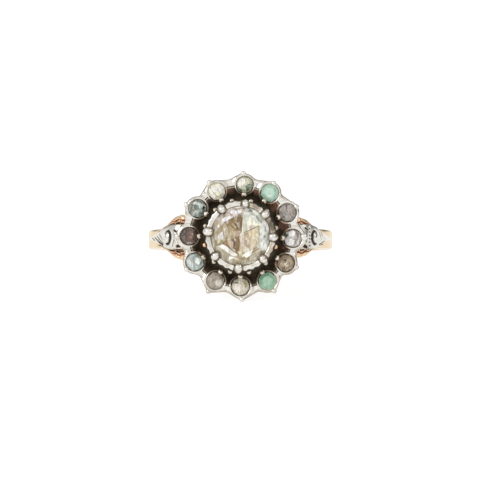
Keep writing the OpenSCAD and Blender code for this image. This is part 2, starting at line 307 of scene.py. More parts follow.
# Leaf shoulders
# Four gold leaves part from the band and run up to the gallery, two on each side. They are
# cast with the shank, and their ribs and veins are cut with a graver, which leaves dark lines.
arm_start = np.array([9.052, 3.657])
arm_knee = np.array([8.192, 9.085])
arm_end = np.array([3.83, 9.085])
arm_spread = 1.86
arm_width = 1.15
arm_thick = 0.75
# Sections of a leaf: place on the path, then its spread, width and thickness as shares
leaf_sections = np.array([
    [0, 0.4, 0.2, 0.5], [0.14, 0.43, 0.19, 0.7], [0.28, 0.51, 0.2, 0.8],
    [0.42, 0.67, 0.26, 0.9], [0.5, 0.82, 0.52, 1], [0.58, 0.94, 0.86, 1],
    [0.7, 1, 0.96, 0.9], [0.86, 0.9, 0.7, 0.65], [1, 0.75, 0.46, 0.5]])


def bowed(start, knee, end, t):
    """Place and direction on a bowed path seen along the finger."""
    at = (1 - t) ** 2 * start + 2 * t * (1 - t) * knee + t ** 2 * end
    way = (1 - t) * (knee - start) + t * (end - knee)
    return at, way / np.linalg.norm(way)


def swept(path, rows, across, section):
    """A closed solid along a path. section gives, for a share of the path and its length so far, the
    top's place along the finger, its height, and how dark it is from its cuts and from any painted
    shade."""
    points, dark_shares, run, last = [], [], 0.0, None
    for t in np.linspace(0, 1, rows):
        at, way = path(t)
        run += 0.0 if last is None else float(np.linalg.norm(at - last))
        last = at
        for y, out, depth in section(t, run, across):
            points.append((at[0] + way[1] * out, y, at[1] - way[0] * out))
            dark_shares.append(depth)
    columns = len(points) // rows
    return points, quads(rows, columns) + end_caps(rows, columns), dark_shares


def groove(distance, width):
    """How deep a cut is at a distance from its middle: 1 at the middle, 0 at its edge."""
    return max(0.0, 1 - (distance / width) ** 2) if abs(distance) < width else 0.0


vein_pitch = 0.74
vein_width = 0.11
vein_depth = 0.1
vein_slant = 0.7
lobe_pitch = 1.48
lobe_depth = 0.07
rib_wave = 0.9
rib_sway = 0.1
leaf_opens_at = 0.45
leaf_tucks_at = 0.67
crown_fall = 0.34
leaf_blush = 0.25
web_y = 0.98
web_width = 0.62


def leaf_section(t, run, across, reach):
    """A leaf across, its ribs and veins cut, and its far end darkened where it runs in under the
    star, with painted shade and grime. Its reach scales how far it spreads.
    """
    spread, width, thick = (np.interp(t, leaf_sections[:, 0], leaf_sections[:, k])
                            for k in (1, 2, 3))
    spread *= reach
    open_leaf = min(1, max(0, (t - leaf_opens_at) * 7))
    lobe = 1 + lobe_depth * cos(2 * pi * run / lobe_pitch) * open_leaf
    half = arm_width * width / 2 * lobe
    high = arm_thick * thick
    rib_y = rib_sway * sin(2 * pi * run / rib_wave) * open_leaf
    for v in np.linspace(-1, 1, across):
        y = v * half
        crown = high * (0.5 - crown_fall * abs(v) ** 2.2)
        slant = (run + vein_slant * abs(y)) / vein_pitch
        side_vein = groove((slant - round(slant)) * vein_pitch, vein_width)
        side_vein *= min(1, max(0, (0.8 - abs(v)) * 5)) * open_leaf
        rib = groove(y - rib_y, vein_width * (0.5 + 0.8 * open_leaf)) * (0.3 + 0.65 * open_leaf)
        edge_cut = 0.45 * groove(y + half * 0.95, half * 0.2)
        # Painted shade and grime where the leaf runs in under the star
        tuck = 0.75 * min(1, max(0, (t - leaf_tucks_at) * 9)) * min(1, max(0, 1.2 - v))
        cut_depth = max(side_vein * 0.5, rib * 0.85 * min(1, t * 8), edge_cut)
        yield (arm_spread * spread + y, crown - vein_depth * cut_depth,
               max(cut_depth * 0.8, tuck))
    for v in (0.86, 0.3, -0.3, -0.86):
        yield arm_spread * spread + v * half, -0.45 * high, 0.12


def shade_strip_section(t, run, across):
    """A strip of gold inside a leaf, dark all over: painted shade in the gap between the leaf and
    the scroll.
    """
    for v in np.linspace(0, 1, across):
        yield web_y + web_width * v, 0.02 - 0.1 * sin(pi * v), 0.95
    for v in (1, 0):
        yield web_y + web_width * v, -0.2, 0.9


leaf_shells, leaf_cuts_and_shade = [], []
for side, reach in ((-1, 1.0), (1, 0.86)):
    for edge in (-1, 1):
        points, faces, dark_shares = swept(
            lambda t: bowed(arm_start, arm_knee, arm_end, t), 260, 33,
            lambda t, run, across: leaf_section(t, run, across, reach))
        points = [(side * x, edge * y, z) for x, y, z in points]
        leaf_shells.append((points, faces))
        leaf_cuts_and_shade += dark_shares
        points, faces, dark_shares = swept(
            lambda t: bowed(arm_start, arm_knee, arm_end, 0.56 + 0.26 * t), 24, 7, shade_strip_section)
        leaf_shells.append(([(side * x, edge * y, z) for x, y, z in points], faces))
        leaf_cuts_and_shade += dark_shares
leaf_points, leaf_faces = closed_shells(*leaf_shells)
leaf_mesh = raw_mesh("gold_leaf_shoulders", leaf_points, leaf_faces, recess=leaf_cuts_and_shade,
                     blush=[leaf_blush] * len(leaf_points))
set_piece(leaf_mesh, gold, "gold", "gold_shank")

# Carved scrolls
# A silver scroll lies between the leaves on each shoulder: a curl round a raised eye, strokes
# that fan out towards the tip and a row of grains at the head. It is carved and soldered on,
# and its cuts have blackened.
scroll_start = np.array([9.888, 3.023])
scroll_knee = np.array([8.939, 7.547])
scroll_end = np.array([6.77, 10.32])
scroll_bend = 0.93
scroll_tongue = np.array([5.95, 10.36])
scroll_half = 1.34
scroll_thick = 0.4
scroll_levels_at = 0.9
curl_from = -2.1
curl_to = 2.9
curl_r = 0.7
curl_turns_in = 1.3
eye_high = 0.14
eye_long = 0.34
eye_wide = 0.42
bead_pitch = 0.36
bead_r = 0.17
stroke_deep = 0.17
# Sections of a scroll: place on the path, then its half width and thickness as shares
scroll_sections = np.array([[0, 0.08, 0.4], [0.18, 0.2, 0.7], [0.36, 0.37, 0.9],
                            [0.48, 0.53, 1], [0.6, 0.78, 1], [0.72, 0.93, 1], [0.82, 1, 1],
                            [1, 0.97, 1]])

# Sterling silver of an old setting: bright and slightly grey where it is rubbed, with soft pits
# about 0.2 mm apart. In hollows it has turned brown-black, and it is darkest in the trench. The same
# darkening also paints shade on the sides of the centre claws and in a line beside each on the
# collet's rim, on the star's lower bevel and at the head end of the right scroll, and its light
# brown paints a glint in the trench.
star_z = 11.04
silver, tree, place = new_material("sterling_silver_tarnished")
# How dark each point is: the black of its hollows and cuts, and painted shade
cut = carried(tree, "recess")
mottle = grain(tree, place, 1.3, 4.0, 0.6)
pits = grain(tree, place, 5.0, 3.0, 0.55)
grey = mix(tree, ramp(tree, mottle, 0.3, 0.75), "#e4e1da", "#cecac1")
soiled = total(tree, cut, ramp(tree, mottle, 0.25, 0.75, -0.16, 0.16))
tarnish_and_shade = ramp(tree, soiled, 0.3, 0.8)
brown = total(tree, carried(tree, "rust"),
              ramp(tree, grain(tree, place, 2.2, 4.0, 0.6), 0.3, 0.7, -0.3, 0.3))
rust = mix(tree, ramp(tree, grain(tree, place, 0.9, 3.0), 0.35, 0.65), "#4a4135", "#665b48")
rust = mix(tree, ramp(tree, brown, 0.15, 0.75), rust, "#ad8672")
rust = mix(tree, ramp(tree, brown, -0.7, -0.35), "#1b1612", rust)
worn_and_shaded_silver = mix(tree, ramp(tree, soiled, 0.04, 0.26), grey, "#b9ad9c")
finish_material(
    tree, mix(tree, tarnish_and_shade, worn_and_shaded_silver, rust),
    total(tree, ramp(tree, pits, 0.3, 0.75, 0.13, 0.22), ramp(tree, soiled, 0.2, 0.9, 0.0, 0.22)),
    ramp(tree, soiled, 0.3, 0.95, 1.0, 0.45), pits, 0.0035)


def stroke_depth(run, y, stroke):
    """Depth of one stroke, from one end and half width to the other. Most strokes are cuts of the
    graver; one is painted shade.
    """
    run_a, y_a, run_b, y_b, half_a, half_b = stroke
    share = ((run - run_a) * (run_b - run_a) + (y - y_a) * (y_b - y_a)) / (
        (run_b - run_a) ** 2 + (y_b - y_a) ** 2)
    share = min(1, max(0, share))
    off = hypot(run - run_a - share * (run_b - run_a), y - y_a - share * (y_b - y_a))
    return groove(off, half_a + (half_b - half_a) * share)


def curl_depth(dx, dy):
    """Depth of the curl's cut round its eye: widest towards the head, its upper end turned in."""
    turn, reach = atan2(dy, dx), hypot(dx, dy)
    if curl_from < turn < curl_to:
        middle = curl_r - 0.34 * max(0.0, turn - curl_turns_in) / 1.6
        return groove(reach - middle, (0.15 + 0.26 * max(0.0, cos(turn)))
                      * min(1, (turn - curl_from) * 2, (curl_to - turn) * 2))
    return 0.0


def scroll_path(t):
    """Up the shoulder, and then level under the star."""
    if t < scroll_levels_at:
        return bowed(scroll_start, scroll_knee, scroll_end, t / scroll_levels_at * scroll_bend)
    at, way = bowed(scroll_start, scroll_knee, scroll_end, scroll_bend)
    return bowed(at, at + way * 0.4, scroll_tongue, (t - scroll_levels_at) / 0.1)


def scroll_section_of(curl_run, strokes, grain_run):
    """The carved face of a scroll: its curl, its strokes and where its grains stand."""
    def section(t, run, across):
        width, thick = (np.interp(t, scroll_sections[:, 0], scroll_sections[:, k])
                        for k in (1, 2))
        half = scroll_half * width
        for v in np.linspace(-1, 1, across):
            y = v * half
            top = scroll_thick * ((1 - 0.3 * abs(v) ** 3) * thick - 0.5)
            deep = max([curl_depth(run - curl_run, y)]
                       + [stroke_depth(run, y, stroke) for stroke in strokes])
            top += eye_high * max(0.0, 1 - ((run - curl_run) / eye_long) ** 2
                                  - (y / eye_wide) ** 2)
            column = groove(run - grain_run, 0.24)
            if column > 0 and curl_run < 6:
                grain_y = (y / bead_pitch - round(y / bead_pitch)) * bead_pitch
                dome = max(0.0, 1 - (hypot(grain_y, run - grain_run) / bead_r) ** 2)
                top += 0.1 * dome
                deep = max(deep, 0.9 * column * (1 - min(1, dome * 2.5)))
            if abs(v) > 0.93:
                deep = max(0.28, deep * (1 - abs(v)) * 14)
            yield y, top - stroke_deep * deep, deep
        for v in (1, 0.4, -0.4, -1):
            yield v * half * 0.98, -scroll_thick / 2, 0.8
    return section


# Strokes of the two scrolls: along it and across it at both ends, and their half widths. The right
# scroll's last stroke, low at its head end, is painted shade: a broad dark groove between the star's
# edge and the leaf.
left_strokes = [(1.6, 0.1, 2.7, -0.25, 0.06, 0.1), (2.8, 0.15, 5.2, -0.85, 0.08, 0.17),
                (3.7, 0.25, 5.4, -0.7, 0.05, 0.09), (4.4, 0.45, 5.2, -0.2, 0.06, 0.08),
                (7.9, 0.5, 7.5, 0.75, 0.16, 0.1), (7.6, -0.3, 7.35, -0.95, 0.06, 0.12),
                (7.95, -1.0, 8.15, -1.02, 0.24, 0.2)]
right_strokes = [(5.2, 0.85, 4.5, -0.1, 0.14, 0.08), (4.5, 0.6, 3.8, 0.0, 0.12, 0.07),
                 (3.6, 0.1, 2.6, -0.4, 0.05, 0.05), (5.0, -0.75, 3.4, -0.3, 0.05, 0.05),
                 (7.75, 0.95, 7.3, 0.75, 0.12, 0.06), (7.5, -1.1, 8.4, -0.75, 0.2, 0.36)]
for name, side, curl_run, strokes, grain_run in (
        ("left", -1, 6.15, left_strokes, 7.32), ("right", 1, 5.85, right_strokes, 7.1)):
    points, faces, dark_shares = swept(scroll_path, 330, 67,
                                  scroll_section_of(curl_run, strokes, grain_run))
    points = [(side * x, y, z) for x, y, z in points]
    scroll_mesh = raw_mesh("silver_scroll_" + name, points, faces,
                           recess=[1.16 * depth - 0.16 for depth in dark_shares],
                           rust=[-1.0] * len(points))
    set_piece(scroll_mesh, silver, "silver", "shoulder_scroll_" + name)

# Bowl and star
# The silver base of the cluster: a bowl on the gallery, closed behind the small stones, and round
# it the star-shaped face, cut from sheet, with a scallop to each small stone and a point between
# valleys. The trench inside it has turned black.
base_z = 9.44
floor_z = 9.84
collet_z = 13.44
plate_t = 0.4
cup_r = 1.2
small_r = 0.96
collet_r = 3.7
waist_r = 3.2
stone_count = 12
tip_r = 6.68
tip_bead_r = 0.31
web_inner_r = 5.4
tip_share = 0.7
star_smoothing = 14
trench_inner_r = 2.9
trench_outer_r = 5.5
# The star is uneven. Its points, clockwise from the top of the picture: how far each strays along
# the edge, in degrees that a scratch script worked out from marks made by eye on the picture, how
# far it stands out, and the size of its bead
star_tips = [(2.6, 0.02, 0.86), (1.9, -0.02, 0.9), (2.0, 0.05, 0.9), (0.4, 0.16, 1.3),
             (-1.0, 0.1, 0.85), (-1.7, 0.12, 0.9), (-1.3, 0, 1), (0.3, 0.06, 0.9),
             (-1.5, 0.02, 0.9), (0.3, 0.06, 0.95), (0.4, 0, 0.95), (0.2, -0.08, 0.9)]
# How far the face reaches past the cup of each stone
petal_margins = [0.08, 0.06, 0.08, 0.2, 0.1, 0.06, 0.06, 0.06, 0.08, 0.26, 0.12, 0.08]
# The valleys after them: how far each strays from midway, in degrees from the same scratch script
# but for the last, and its radius, that script's moved by hand by 0.05 mm at most
star_valleys = [(1.0, 6.32), (-0.3, 6.28), (-1.4, 6.24), (0.8, 6.2), (-1.5, 6.1), (-2.5, 6.16),
                (-0.6, 6.1), (0.6, 6.04), (0.5, 6.2), (0.5, 6.12), (0.6, 6.14), (4.0, 6.22)]


def seat_of(node):
    """Turn from the top of the picture, distance and radius of a small stone."""
    back = np.array(ring_place.inverted())
    points = np.array([v.co[:] for v in frame["nodes"][node].data.vertices])
    points = points @ back[:3, :3].T + back[:3, 3]
    x, y = points[:, 0].mean(), points[:, 1].mean()
    r = np.hypot(points[:, 0] - x, points[:, 1] - y).max()
    return atan2(x, y), hypot(x, y), r


stone_nodes = ["cluster_stone_%02d" % (i + 1) for i in range(stone_count)]
seats = [seat_of(node) for node in stone_nodes]
seat_sizes = [r / small_r for _, _, r in seats]


def around(turn, r, z):
    """A place round the head, clockwise from the top of the picture."""
    return (r * sin(turn), r * cos(turn), z)


def lathe(profile, steps):
    """A closed solid turned from an outline of radius and height, with its closed ends."""
    points = [around(turn, r, z) for turn in np.linspace(0, 2 * pi, steps, endpoint=False)
              for r, z in profile]
    return points, quads(steps, len(profile), closed_rows=True)


def in_trench(points):
    """How far a point lies in the blackened trench between the collet and the stones."""
    p = np.asarray(points, float)
    r, z = np.hypot(p[:, 0], p[:, 1]), p[:, 2]
    inside = np.clip((trench_outer_r - r) / 0.25, 0, 1)
    inside *= np.clip((r - trench_inner_r) / 0.3, 0, 1)
    low = np.clip((star_z + 0.08 - z) / 0.2, 0, 1) * np.clip((z - base_z - 0.05) / 0.1, 0, 1)
    return inside * low * (1 - 0.36 * np.clip((r - 4.5) / 0.5, 0, 1))


# Brown patches of the trench, one of them a painted glint: degrees from the top of the picture,
# radius, reach and strength. The patch at 76 degrees is the painted glint, where light catches the
# trench wall.
brown_and_glint_spots = [(20, 5.2, 0.5, 0.9), (-14, 5.2, 0.5, 0.8), (48, 5.0, 0.6, 1.0), (76, 4.8, 0.6, 1.0),
              (105, 4.9, 0.5, 0.6), (128, 5.0, 0.6, 0.5), (160, 5.0, 0.4, 0.3),
              (205, 5.0, 0.5, 0.4), (244, 5.0, 0.7, 0.5), (286, 4.9, 0.5, 0.3),
              (318, 5.1, 0.5, 0.2)]


def brown_and_glint_at(points):
    """How brown the trench is at each point, with its painted glint."""
    p = np.asarray(points, float)
    share = np.zeros(len(p))
    for turn, r, reach, strength in brown_and_glint_spots:
        x, y, _ = around(radians(turn), r, 0)
        off = np.hypot(p[:, 0] - x, p[:, 1] - y)
        share = np.maximum(share, strength * np.clip(1.4 - off / reach, 0, 1))
    return share


bowl_points, bowl_faces = lathe([
    (hole_r, base_z), (4.4, base_z), (gallery_r - 0.06, base_z), (gallery_r, base_z + 0.06),
    (5.35, base_z + 0.6), (5.8, star_z - 0.3), (5.76, star_z - 0.24), (5.23, star_z - 0.24),
    (4.6, floor_z + 0.3), (4.235, floor_z), (3.3, floor_z), (3.2, floor_z + 0.1),
    (3.0, floor_z + 0.1), (hole_r, floor_z - 0.05)], 144)
bowl_mesh = raw_mesh("silver_bowl", bowl_points, bowl_faces, recess=in_trench(bowl_points),
                     rust=brown_and_glint_at(bowl_points))
set_piece(bowl_mesh, silver, "silver", "cluster_setting")


def star_edge(turn):
    """Outer radius of the face: straight from each point to the valleys beside it, and a
    scallop about each stone."""
    for (turn_a, r_a), (turn_b, r_b) in zip(star_corners, star_corners[1:]):
        if turn_a <= (turn - star_corners[0][0]) % (2 * pi) + star_corners[0][0] <= turn_b:
            share = (turn - star_corners[0][0]) % (2 * pi) + star_corners[0][0] - turn_a
            best = r_a * r_b * sin(turn_b - turn_a) / (
                r_a * sin(share) + r_b * sin(turn_b - turn_a - share))
    for (seat_turn, seat_r, _), size, margin in zip(seats, seat_sizes, petal_margins):
        gap = (turn - seat_turn + pi) % (2 * pi) - pi
        across, petal_r = seat_r * sin(gap), cup_r * size + margin
        if abs(gap) < 0.5 and abs(across) < petal_r:
            best = max(best, seat_r * cos(gap) + sqrt(petal_r ** 2 - across ** 2))
    return best


star_corners = []
for i, ((stray, out, _), (slip, r)) in enumerate(zip(star_tips, star_valleys)):
    star_corners += [(radians(30 * i + stray), tip_r + out + tip_bead_r * tip_share),
                     (radians(30 * i + 15 + slip), r)]
star_corners.append((star_corners[0][0] + 2 * pi, star_corners[0][1]))
star_steps = 1080
star_radii = np.array([star_edge(t) for t in np.linspace(0, 2 * pi, star_steps, endpoint=False)])
for _ in range(star_smoothing):
    star_radii = (np.roll(star_radii, 1) + 2 * star_radii + np.roll(star_radii, -1)) / 4
# How dark the joint round each stone has become
joint_soils = [0.6, 0.45, 0.7, 0.7, 0.8, 0.35, 1, 0.6, 0.8, 0.75, 0.6, 0.35]
collar_h = 0.11
collar_w = 0.3
collar_top_w = 0.14


def collar(x, y):
    """How far the face rises round the stones, where it was pushed up to hold them, and how
    dark it is in the gap against a stone."""
    rise, gap = 0.0, 0.0
    for (seat_turn, seat_r, _), size, soiled_joint in zip(seats, seat_sizes, joint_soils):
        off = hypot(x - seat_r * sin(seat_turn), y - seat_r * cos(seat_turn)) - cup_r * size
        if off < collar_w:
            share = 1 - off / collar_w if off > 0 else 1 + (off + collar_top_w) / 0.08
            share = min(1, max(0, share))
            rise = max(rise, collar_h * share * share * (3 - 2 * share))
            gap = max(gap, soiled_joint * min(1, max(0, (-0.16 - off) / 0.05)))
    return rise, gap


star_points, star_soil_and_shade = [], []
for k, edge in enumerate(star_radii):
    turn = 2 * pi * k / star_steps
    inner = web_inner_r
    dish = 0.04 * (0.5 - 0.5 * cos(turn * stone_count))
    loop = [(inner, -plate_t, 1.0), (inner, -0.12 - dish, 1.0), (inner + 0.03, -0.04 - dish, 0.7),
            (inner + 0.09, -dish, 0.15)]
    loop += [(inner + 0.09 + (edge - 0.4 - inner) * s, -dish * cos(pi / 2 * s), 0.0)
             for s in np.linspace(0.04, 0.96, 24)]
    # The bevel of the edge is somewhat tarnished, and painted shade makes it darker towards the
    # bottom, where less light reaches it
    bevel_tarnish_and_shade = 0.24 - 0.1 * cos(turn)
    loop += [(edge - 0.27, -0.01, 0.0), (edge - 0.225, -0.04, 0.3), (edge - 0.18, -0.01, bevel_tarnish_and_shade * 0.3),
             (edge - 0.13, -0.03, bevel_tarnish_and_shade * 0.6), (edge - 0.08, -0.08, bevel_tarnish_and_shade),
             (edge - 0.03, -0.14, bevel_tarnish_and_shade), (edge, -0.2, bevel_tarnish_and_shade), (edge - 0.01, -0.28, 0.4),
             (edge - 0.05, -0.36, 0.5), (edge - 0.14, -plate_t, 0.6)]
    for i, (r, z, cut) in enumerate(loop):
        x, y = r * sin(turn), r * cos(turn)
        rise, gap = collar(x, y) if 2 < i < len(loop) - 4 else (0.0, 0.0)
        star_points.append((x, y, star_z + z + rise - 0.03 * gap))
        star_soil_and_shade.append(max(cut, gap))
star_columns = len(star_points) // star_steps
star_mesh = raw_mesh("silver_star_face", star_points,
                     quads(star_steps, star_columns, closed_rows=True), recess=star_soil_and_shade)
set_piece(star_mesh, silver, "silver", "cluster_setting")

# Cups of the small stones
# Twelve silver cups stand on the bowl and hold the small stones. Each is a short tapered tube,
# soldered to the face, whose rim is pushed over the edge of its stone.


def scattered(name, shape, spots, finish):
    """Sets a copy of a shape at each spot with Geometry Nodes. A spot is a place, a turn
    about the head's axis and a size."""
    tree = bpy.data.node_groups.new(name, "GeometryNodeTree")
    for label, kind in (("Spots", "Geometry"), ("Shape", "Object"), ("Size", "Float"),
                        ("Finish", "Material")):
        tree.interface.new_socket(label, in_out="INPUT", socket_type="NodeSocket" + kind)
    tree.interface.new_socket("Pieces", in_out="OUTPUT", socket_type="NodeSocketGeometry")
    given = add_node(tree, "NodeGroupInput").outputs
    turn = add_node(tree, "GeometryNodeInputNamedAttribute", {"Name": "turn"},
                    data_type="FLOAT").outputs[0]
    share = add_node(tree, "GeometryNodeInputNamedAttribute", {"Name": "share"},
                     data_type="FLOAT").outputs[0]
    about = add_node(tree, "FunctionNodeEulerToRotation", {
        "Euler": add_node(tree, "ShaderNodeCombineXYZ", {"Z": turn}).outputs[0]}).outputs[0]
    size = add_node(tree, "ShaderNodeMath", {0: share, 1: given["Size"]},
                    operation="MULTIPLY").outputs[0]
    shape_in = add_node(tree, "GeometryNodeObjectInfo", {"Object": given["Shape"]})
    set_out = add_node(tree, "GeometryNodeInstanceOnPoints", {
        "Points": given["Spots"], "Instance": shape_in.outputs["Geometry"],
        "Rotation": about, "Scale": size})
    real = add_node(tree, "GeometryNodeRealizeInstances", {
        "Geometry": set_out.outputs["Instances"]})
    dressed = add_node(tree, "GeometryNodeSetMaterial", {
        "Geometry": real.outputs[0], "Material": given["Finish"]})
    add_node(tree, "NodeGroupOutput", {"Pieces": dressed.outputs[0]})

    spot_mesh = raw_mesh(name + "_spots", [spot[0] for spot in spots], [],
                         turn=[-spot[1] for spot in spots], share=[spot[2] for spot in spots])
    carrier = bpy.data.objects.new(name + "_spots", spot_mesh)
    model = bpy.data.objects.new(name + "_shape", shape)
    for thing in (carrier, model):
        bpy.context.scene.collection.objects.link(thing)
    modifier = carrier.modifiers.new(name, "NODES")
    modifier.node_group = tree
    sockets = {item.name: item.identifier for item in tree.interface.items_tree}
    modifier[sockets["Shape"]] = model
    modifier[sockets["Size"]] = 1.0
    modifier[sockets["Finish"]] = finish
    seen = carrier.evaluated_get(bpy.context.evaluated_depsgraph_get())
    mesh = bpy.data.meshes.new_from_object(seen)
    for thing in (carrier, model):
        bpy.data.objects.remove(thing)
    mesh.name = name
    return mesh


def soil(mesh, low=0.0, share=1.0):
    """Adds the trench's black to a share of the cuts of a mesh in the ring's own frame."""
    points = np.array([v.co[:] for v in mesh.vertices])
    data = mesh.attributes["recess"].data
    cuts = np.zeros(len(points), np.float32)
    data.foreach_get("value", cuts)
    data.foreach_set("value", np.clip(np.maximum(cuts * share, in_trench(points)) + low, 0, 1))
    carry(mesh, "rust", brown_and_glint_at(points))
    return mesh


cup_profile = [
    (0.0, base_z, 0.3), (0.66, base_z, 0.0), (0.74, base_z + 0.05, 0.0),
    (0.98, star_z - 0.75, 0.0), (cup_r - 0.02, star_z - 0.34, 0.0),
    (cup_r - 0.005, star_z - 0.1, 0.0), (cup_r - 0.01, star_z - 0.02, 0.0),
    (cup_r - 0.04, star_z + 0.05, 0.0), (cup_r - 0.09, star_z + 0.08, 0.0),
    (small_r + 0.12, star_z + 0.085, 0.0), (small_r + 0.07, star_z + 0.075, 0.15),
    (small_r + 0.04, star_z + 0.05, 0.55), (small_r + 0.02, star_z - 0.05, 0.9),
    (small_r * 0.5, star_z - 0.4, 1.0), (0.0, star_z - 0.68, 1.0)]
cup_steps = 56
cup_points, cup_cuts = [], []
for turn in np.linspace(0, 2 * pi, cup_steps, endpoint=False):
    for r, z, depth in cup_profile[1:-1]:
        cup_points.append((r * sin(turn), r * cos(turn), z - star_z))
        cup_cuts.append(depth)
cup_columns = len(cup_profile) - 2
cup_faces = quads(cup_steps, cup_columns, closed_rows=True, closed_columns=False)
for end, (_, z, depth) in ((0, cup_profile[0]), (cup_columns - 1, cup_profile[-1])):
    cup_points.append((0, 0, z - star_z))
    cup_cuts.append(depth)
    for k in range(cup_steps):
        cup_faces.append([k * cup_columns + end, (k + 1) % cup_steps * cup_columns + end,
                          len(cup_points) - 1])
cup_mesh = scattered(
    "silver_cups", raw_mesh("cup", cup_points, cup_faces, recess=cup_cuts),
    [(around(seat[0], seat[1], star_z), seat[0], size) for seat, size in zip(seats, seat_sizes)],
    silver)
# Towards the trench the rims are worn low and dark
cup_places = np.array([v.co[:] for v in cup_mesh.vertices])
cup_reach = np.hypot(cup_places[:, 0], cup_places[:, 1])
worn = np.clip((5.35 - cup_reach) / 0.3, 0, 1) * np.clip((cup_places[:, 2] - star_z + 0.2) / 0.2,
                                                          0, 1)
cup_mesh.vertices.foreach_set("co", (cup_places - [[0, 0, 0.06]] * worn[:, None]).ravel())
soil(cup_mesh, worn * 0.5, np.repeat(joint_soils, len(cup_points)))
set_piece(cup_mesh, silver, "silver", "cluster_setting")

# Beads on the points of the star
# A small bead of silver is melted on each of the twelve points, a little flattened by wear.


def bead(r, flat, rings=14, steps=22):
    """A bead of silver: a ball, flattened, with a smooth top."""
    points = [(0, 0, r * flat)]
    for i in range(1, rings):
        polar = pi * i / rings
        points += [(r * sin(polar) * sin(turn), r * sin(polar) * cos(turn), r * flat * cos(polar))
                   for turn in np.linspace(0, 2 * pi, steps, endpoint=False)]
    points.append((0, 0, -r * flat))
    faces = [[0, 1 + k, 1 + (k + 1) % steps] for k in range(steps)]
    faces += quads(rings - 1, steps, start=1)
    last, base = len(points) - 1, 1 + (rings - 2) * steps
    faces += [[last, base + k, base + (k + 1) % steps] for k in range(steps)]
    return points, faces


tip_points, tip_faces = bead(tip_bead_r, 0.75)
tip_mesh = scattered(
    "silver_point_beads",
    raw_mesh("tip", tip_points, tip_faces, recess=[0.0] * len(tip_points)),
    [(around(radians(30 * i + stray), tip_r + out + tip_bead_r * (1 - size), star_z - 0.04),
      radians(30 * i), size) for i, (stray, out, size) in enumerate(star_tips)], silver)
set_piece(tip_mesh, silver, "silver", "cluster_setting")

# Inner claws
# Twelve short posts stand in the trench and lean over the inner edge of each small stone. They
# are drawn wire, soldered to the bowl, bright on top and brown down their sides.
post_r = 0.22
post_head_r = 0.29


def post(low, high, thin_r, head_r, lean, steps=20):
    """An upright wire with a rounded head that leans outwards, and how soiled it is."""
    rings = [(low, thin_r, 0.9), (low + (high - low) * 0.5, thin_r, 0.9),
             (high - 0.3, thin_r * 1.02, 0.8), (high - 0.12, head_r * 0.96, 0.62)]
    rings += [(high + head_r * 0.6 * sin(a), head_r * cos(a), 0.12 + 0.45 * cos(a) ** 2)
              for a in np.linspace(0, radians(84), 7)]
    points, cuts = [], []
    for z, r, depth in rings:
        share = (z - low) / (high - low)
        for turn in np.linspace(0, 2 * pi, steps, endpoint=False):
            points.append((r * sin(turn), r * cos(turn) + lean * share ** 3, z - star_z))
            cuts.append(depth)
    return points, quads(len(rings), steps) + end_caps(len(rings), steps), cuts


claw_points, claw_faces, claw_cuts = post(floor_z - 0.1, star_z + 0.16, post_r, post_head_r, 0.12)
inner_claw_mesh = scattered(
    "silver_inner_claws", raw_mesh("post", claw_points, claw_faces, recess=claw_cuts),
    [(around(seat[0], seat[1] - cup_r, star_z), seat[0], 1.0) for seat in seats], silver)
carry(inner_claw_mesh, "rust", [1.0] * len(inner_claw_mesh.vertices))
set_piece(inner_claw_mesh, silver, "silver", "cluster_setting")

# Lower tier
# Twelve beads on wires stand close round the collet, between the claws of the small stones.
# Two of them are warm with gold solder.
tier_turn = radians(16.5)
tier_r = collet_r + 0.2
tier_points, tier_faces, tier_cuts = post(floor_z - 0.1, star_z + 0.1, 0.16, 0.27, 0.0)
tier_shape = raw_mesh("tier", tier_points, tier_faces, recess=tier_cuts)
golden = (3, 8)
for name, finish, slot, wanted in (
        ("silver_tier_beads", silver, "silver", [i for i in range(12) if i not in golden]),
        ("golden_tier_beads", gold, "gold", list(golden))):
    spots = [(around(radians(30 * i) + tier_turn, tier_r, star_z), radians(30 * i), 1.0)
             for i in wanted]
    set_piece(scattered(name, tier_shape.copy(), spots, finish), finish, slot,
              "cluster_setting")

# Collet
# The tall silver collet of the centre stone: a tube turned on a waist, open to a flared rim
# with shallow flutes between its claws. It is bright on its rim and black in the trench.
collet_seat = 0.45
room_r = 3.34
claw_turns = [radians(45 * i + turn) for i, turn in
              enumerate([8.6, 4.5, 2.7, 0.8, 3.7, 5.8, 7, 9.5])]
rim_lip_r = 3.13
rim_dip = 0.1
flute_depth = 0.045
flutes = 32
# Where the rim is darker, between the claws on the right: middle, reach and strength
dark_rim_spots = [(1.22, 0.32, 0.7), (0.45, 0.22, 0.4), (2, 0.35, 0.25)]
# Outline of the collet: radius and height, then how black it is
collet_profile = [
    (waist_r - 0.3, floor_z, 1.0), (waist_r + 0.08, floor_z, 1.0), (waist_r, floor_z + 0.3, 1.0),
    (waist_r, star_z - plate_t, 1.0), (waist_r + 0.04, star_z + 0.5, 0.95),
    (waist_r + 0.12, star_z + 1.2, 0.75), (waist_r + 0.3, collet_z - 0.85, 0.5),
    (collet_r - 0.08, collet_z - 0.62, 0.55), (collet_r, collet_z - 0.36, 0.5),
    (collet_r + 0.01, collet_z - 0.17, 0.2), (collet_r - 0.03, collet_z - 0.06, 0.0),
    (collet_r - 0.1, collet_z - 0.01, 0.0), (collet_r - 0.2, collet_z, 0.0),
    (collet_r - 0.3, collet_z - 0.05, 0.14), (collet_r - 0.4, collet_z - 0.06, 0.0),
    (rim_lip_r + 0.05, collet_z - 0.12, 0.15), (rim_lip_r, collet_z - 0.17, 0.7),
    (rim_lip_r + 0.02, collet_z - 0.23, 1.0), (room_r, collet_z - 0.27, 1.0),
    (room_r, collet_z - collet_seat - 0.1, 1.0),
    (waist_r - 0.3, collet_z - collet_seat - 0.5, 1.0)]
collet_steps = 360
collet_points, collet_cuts = [], []
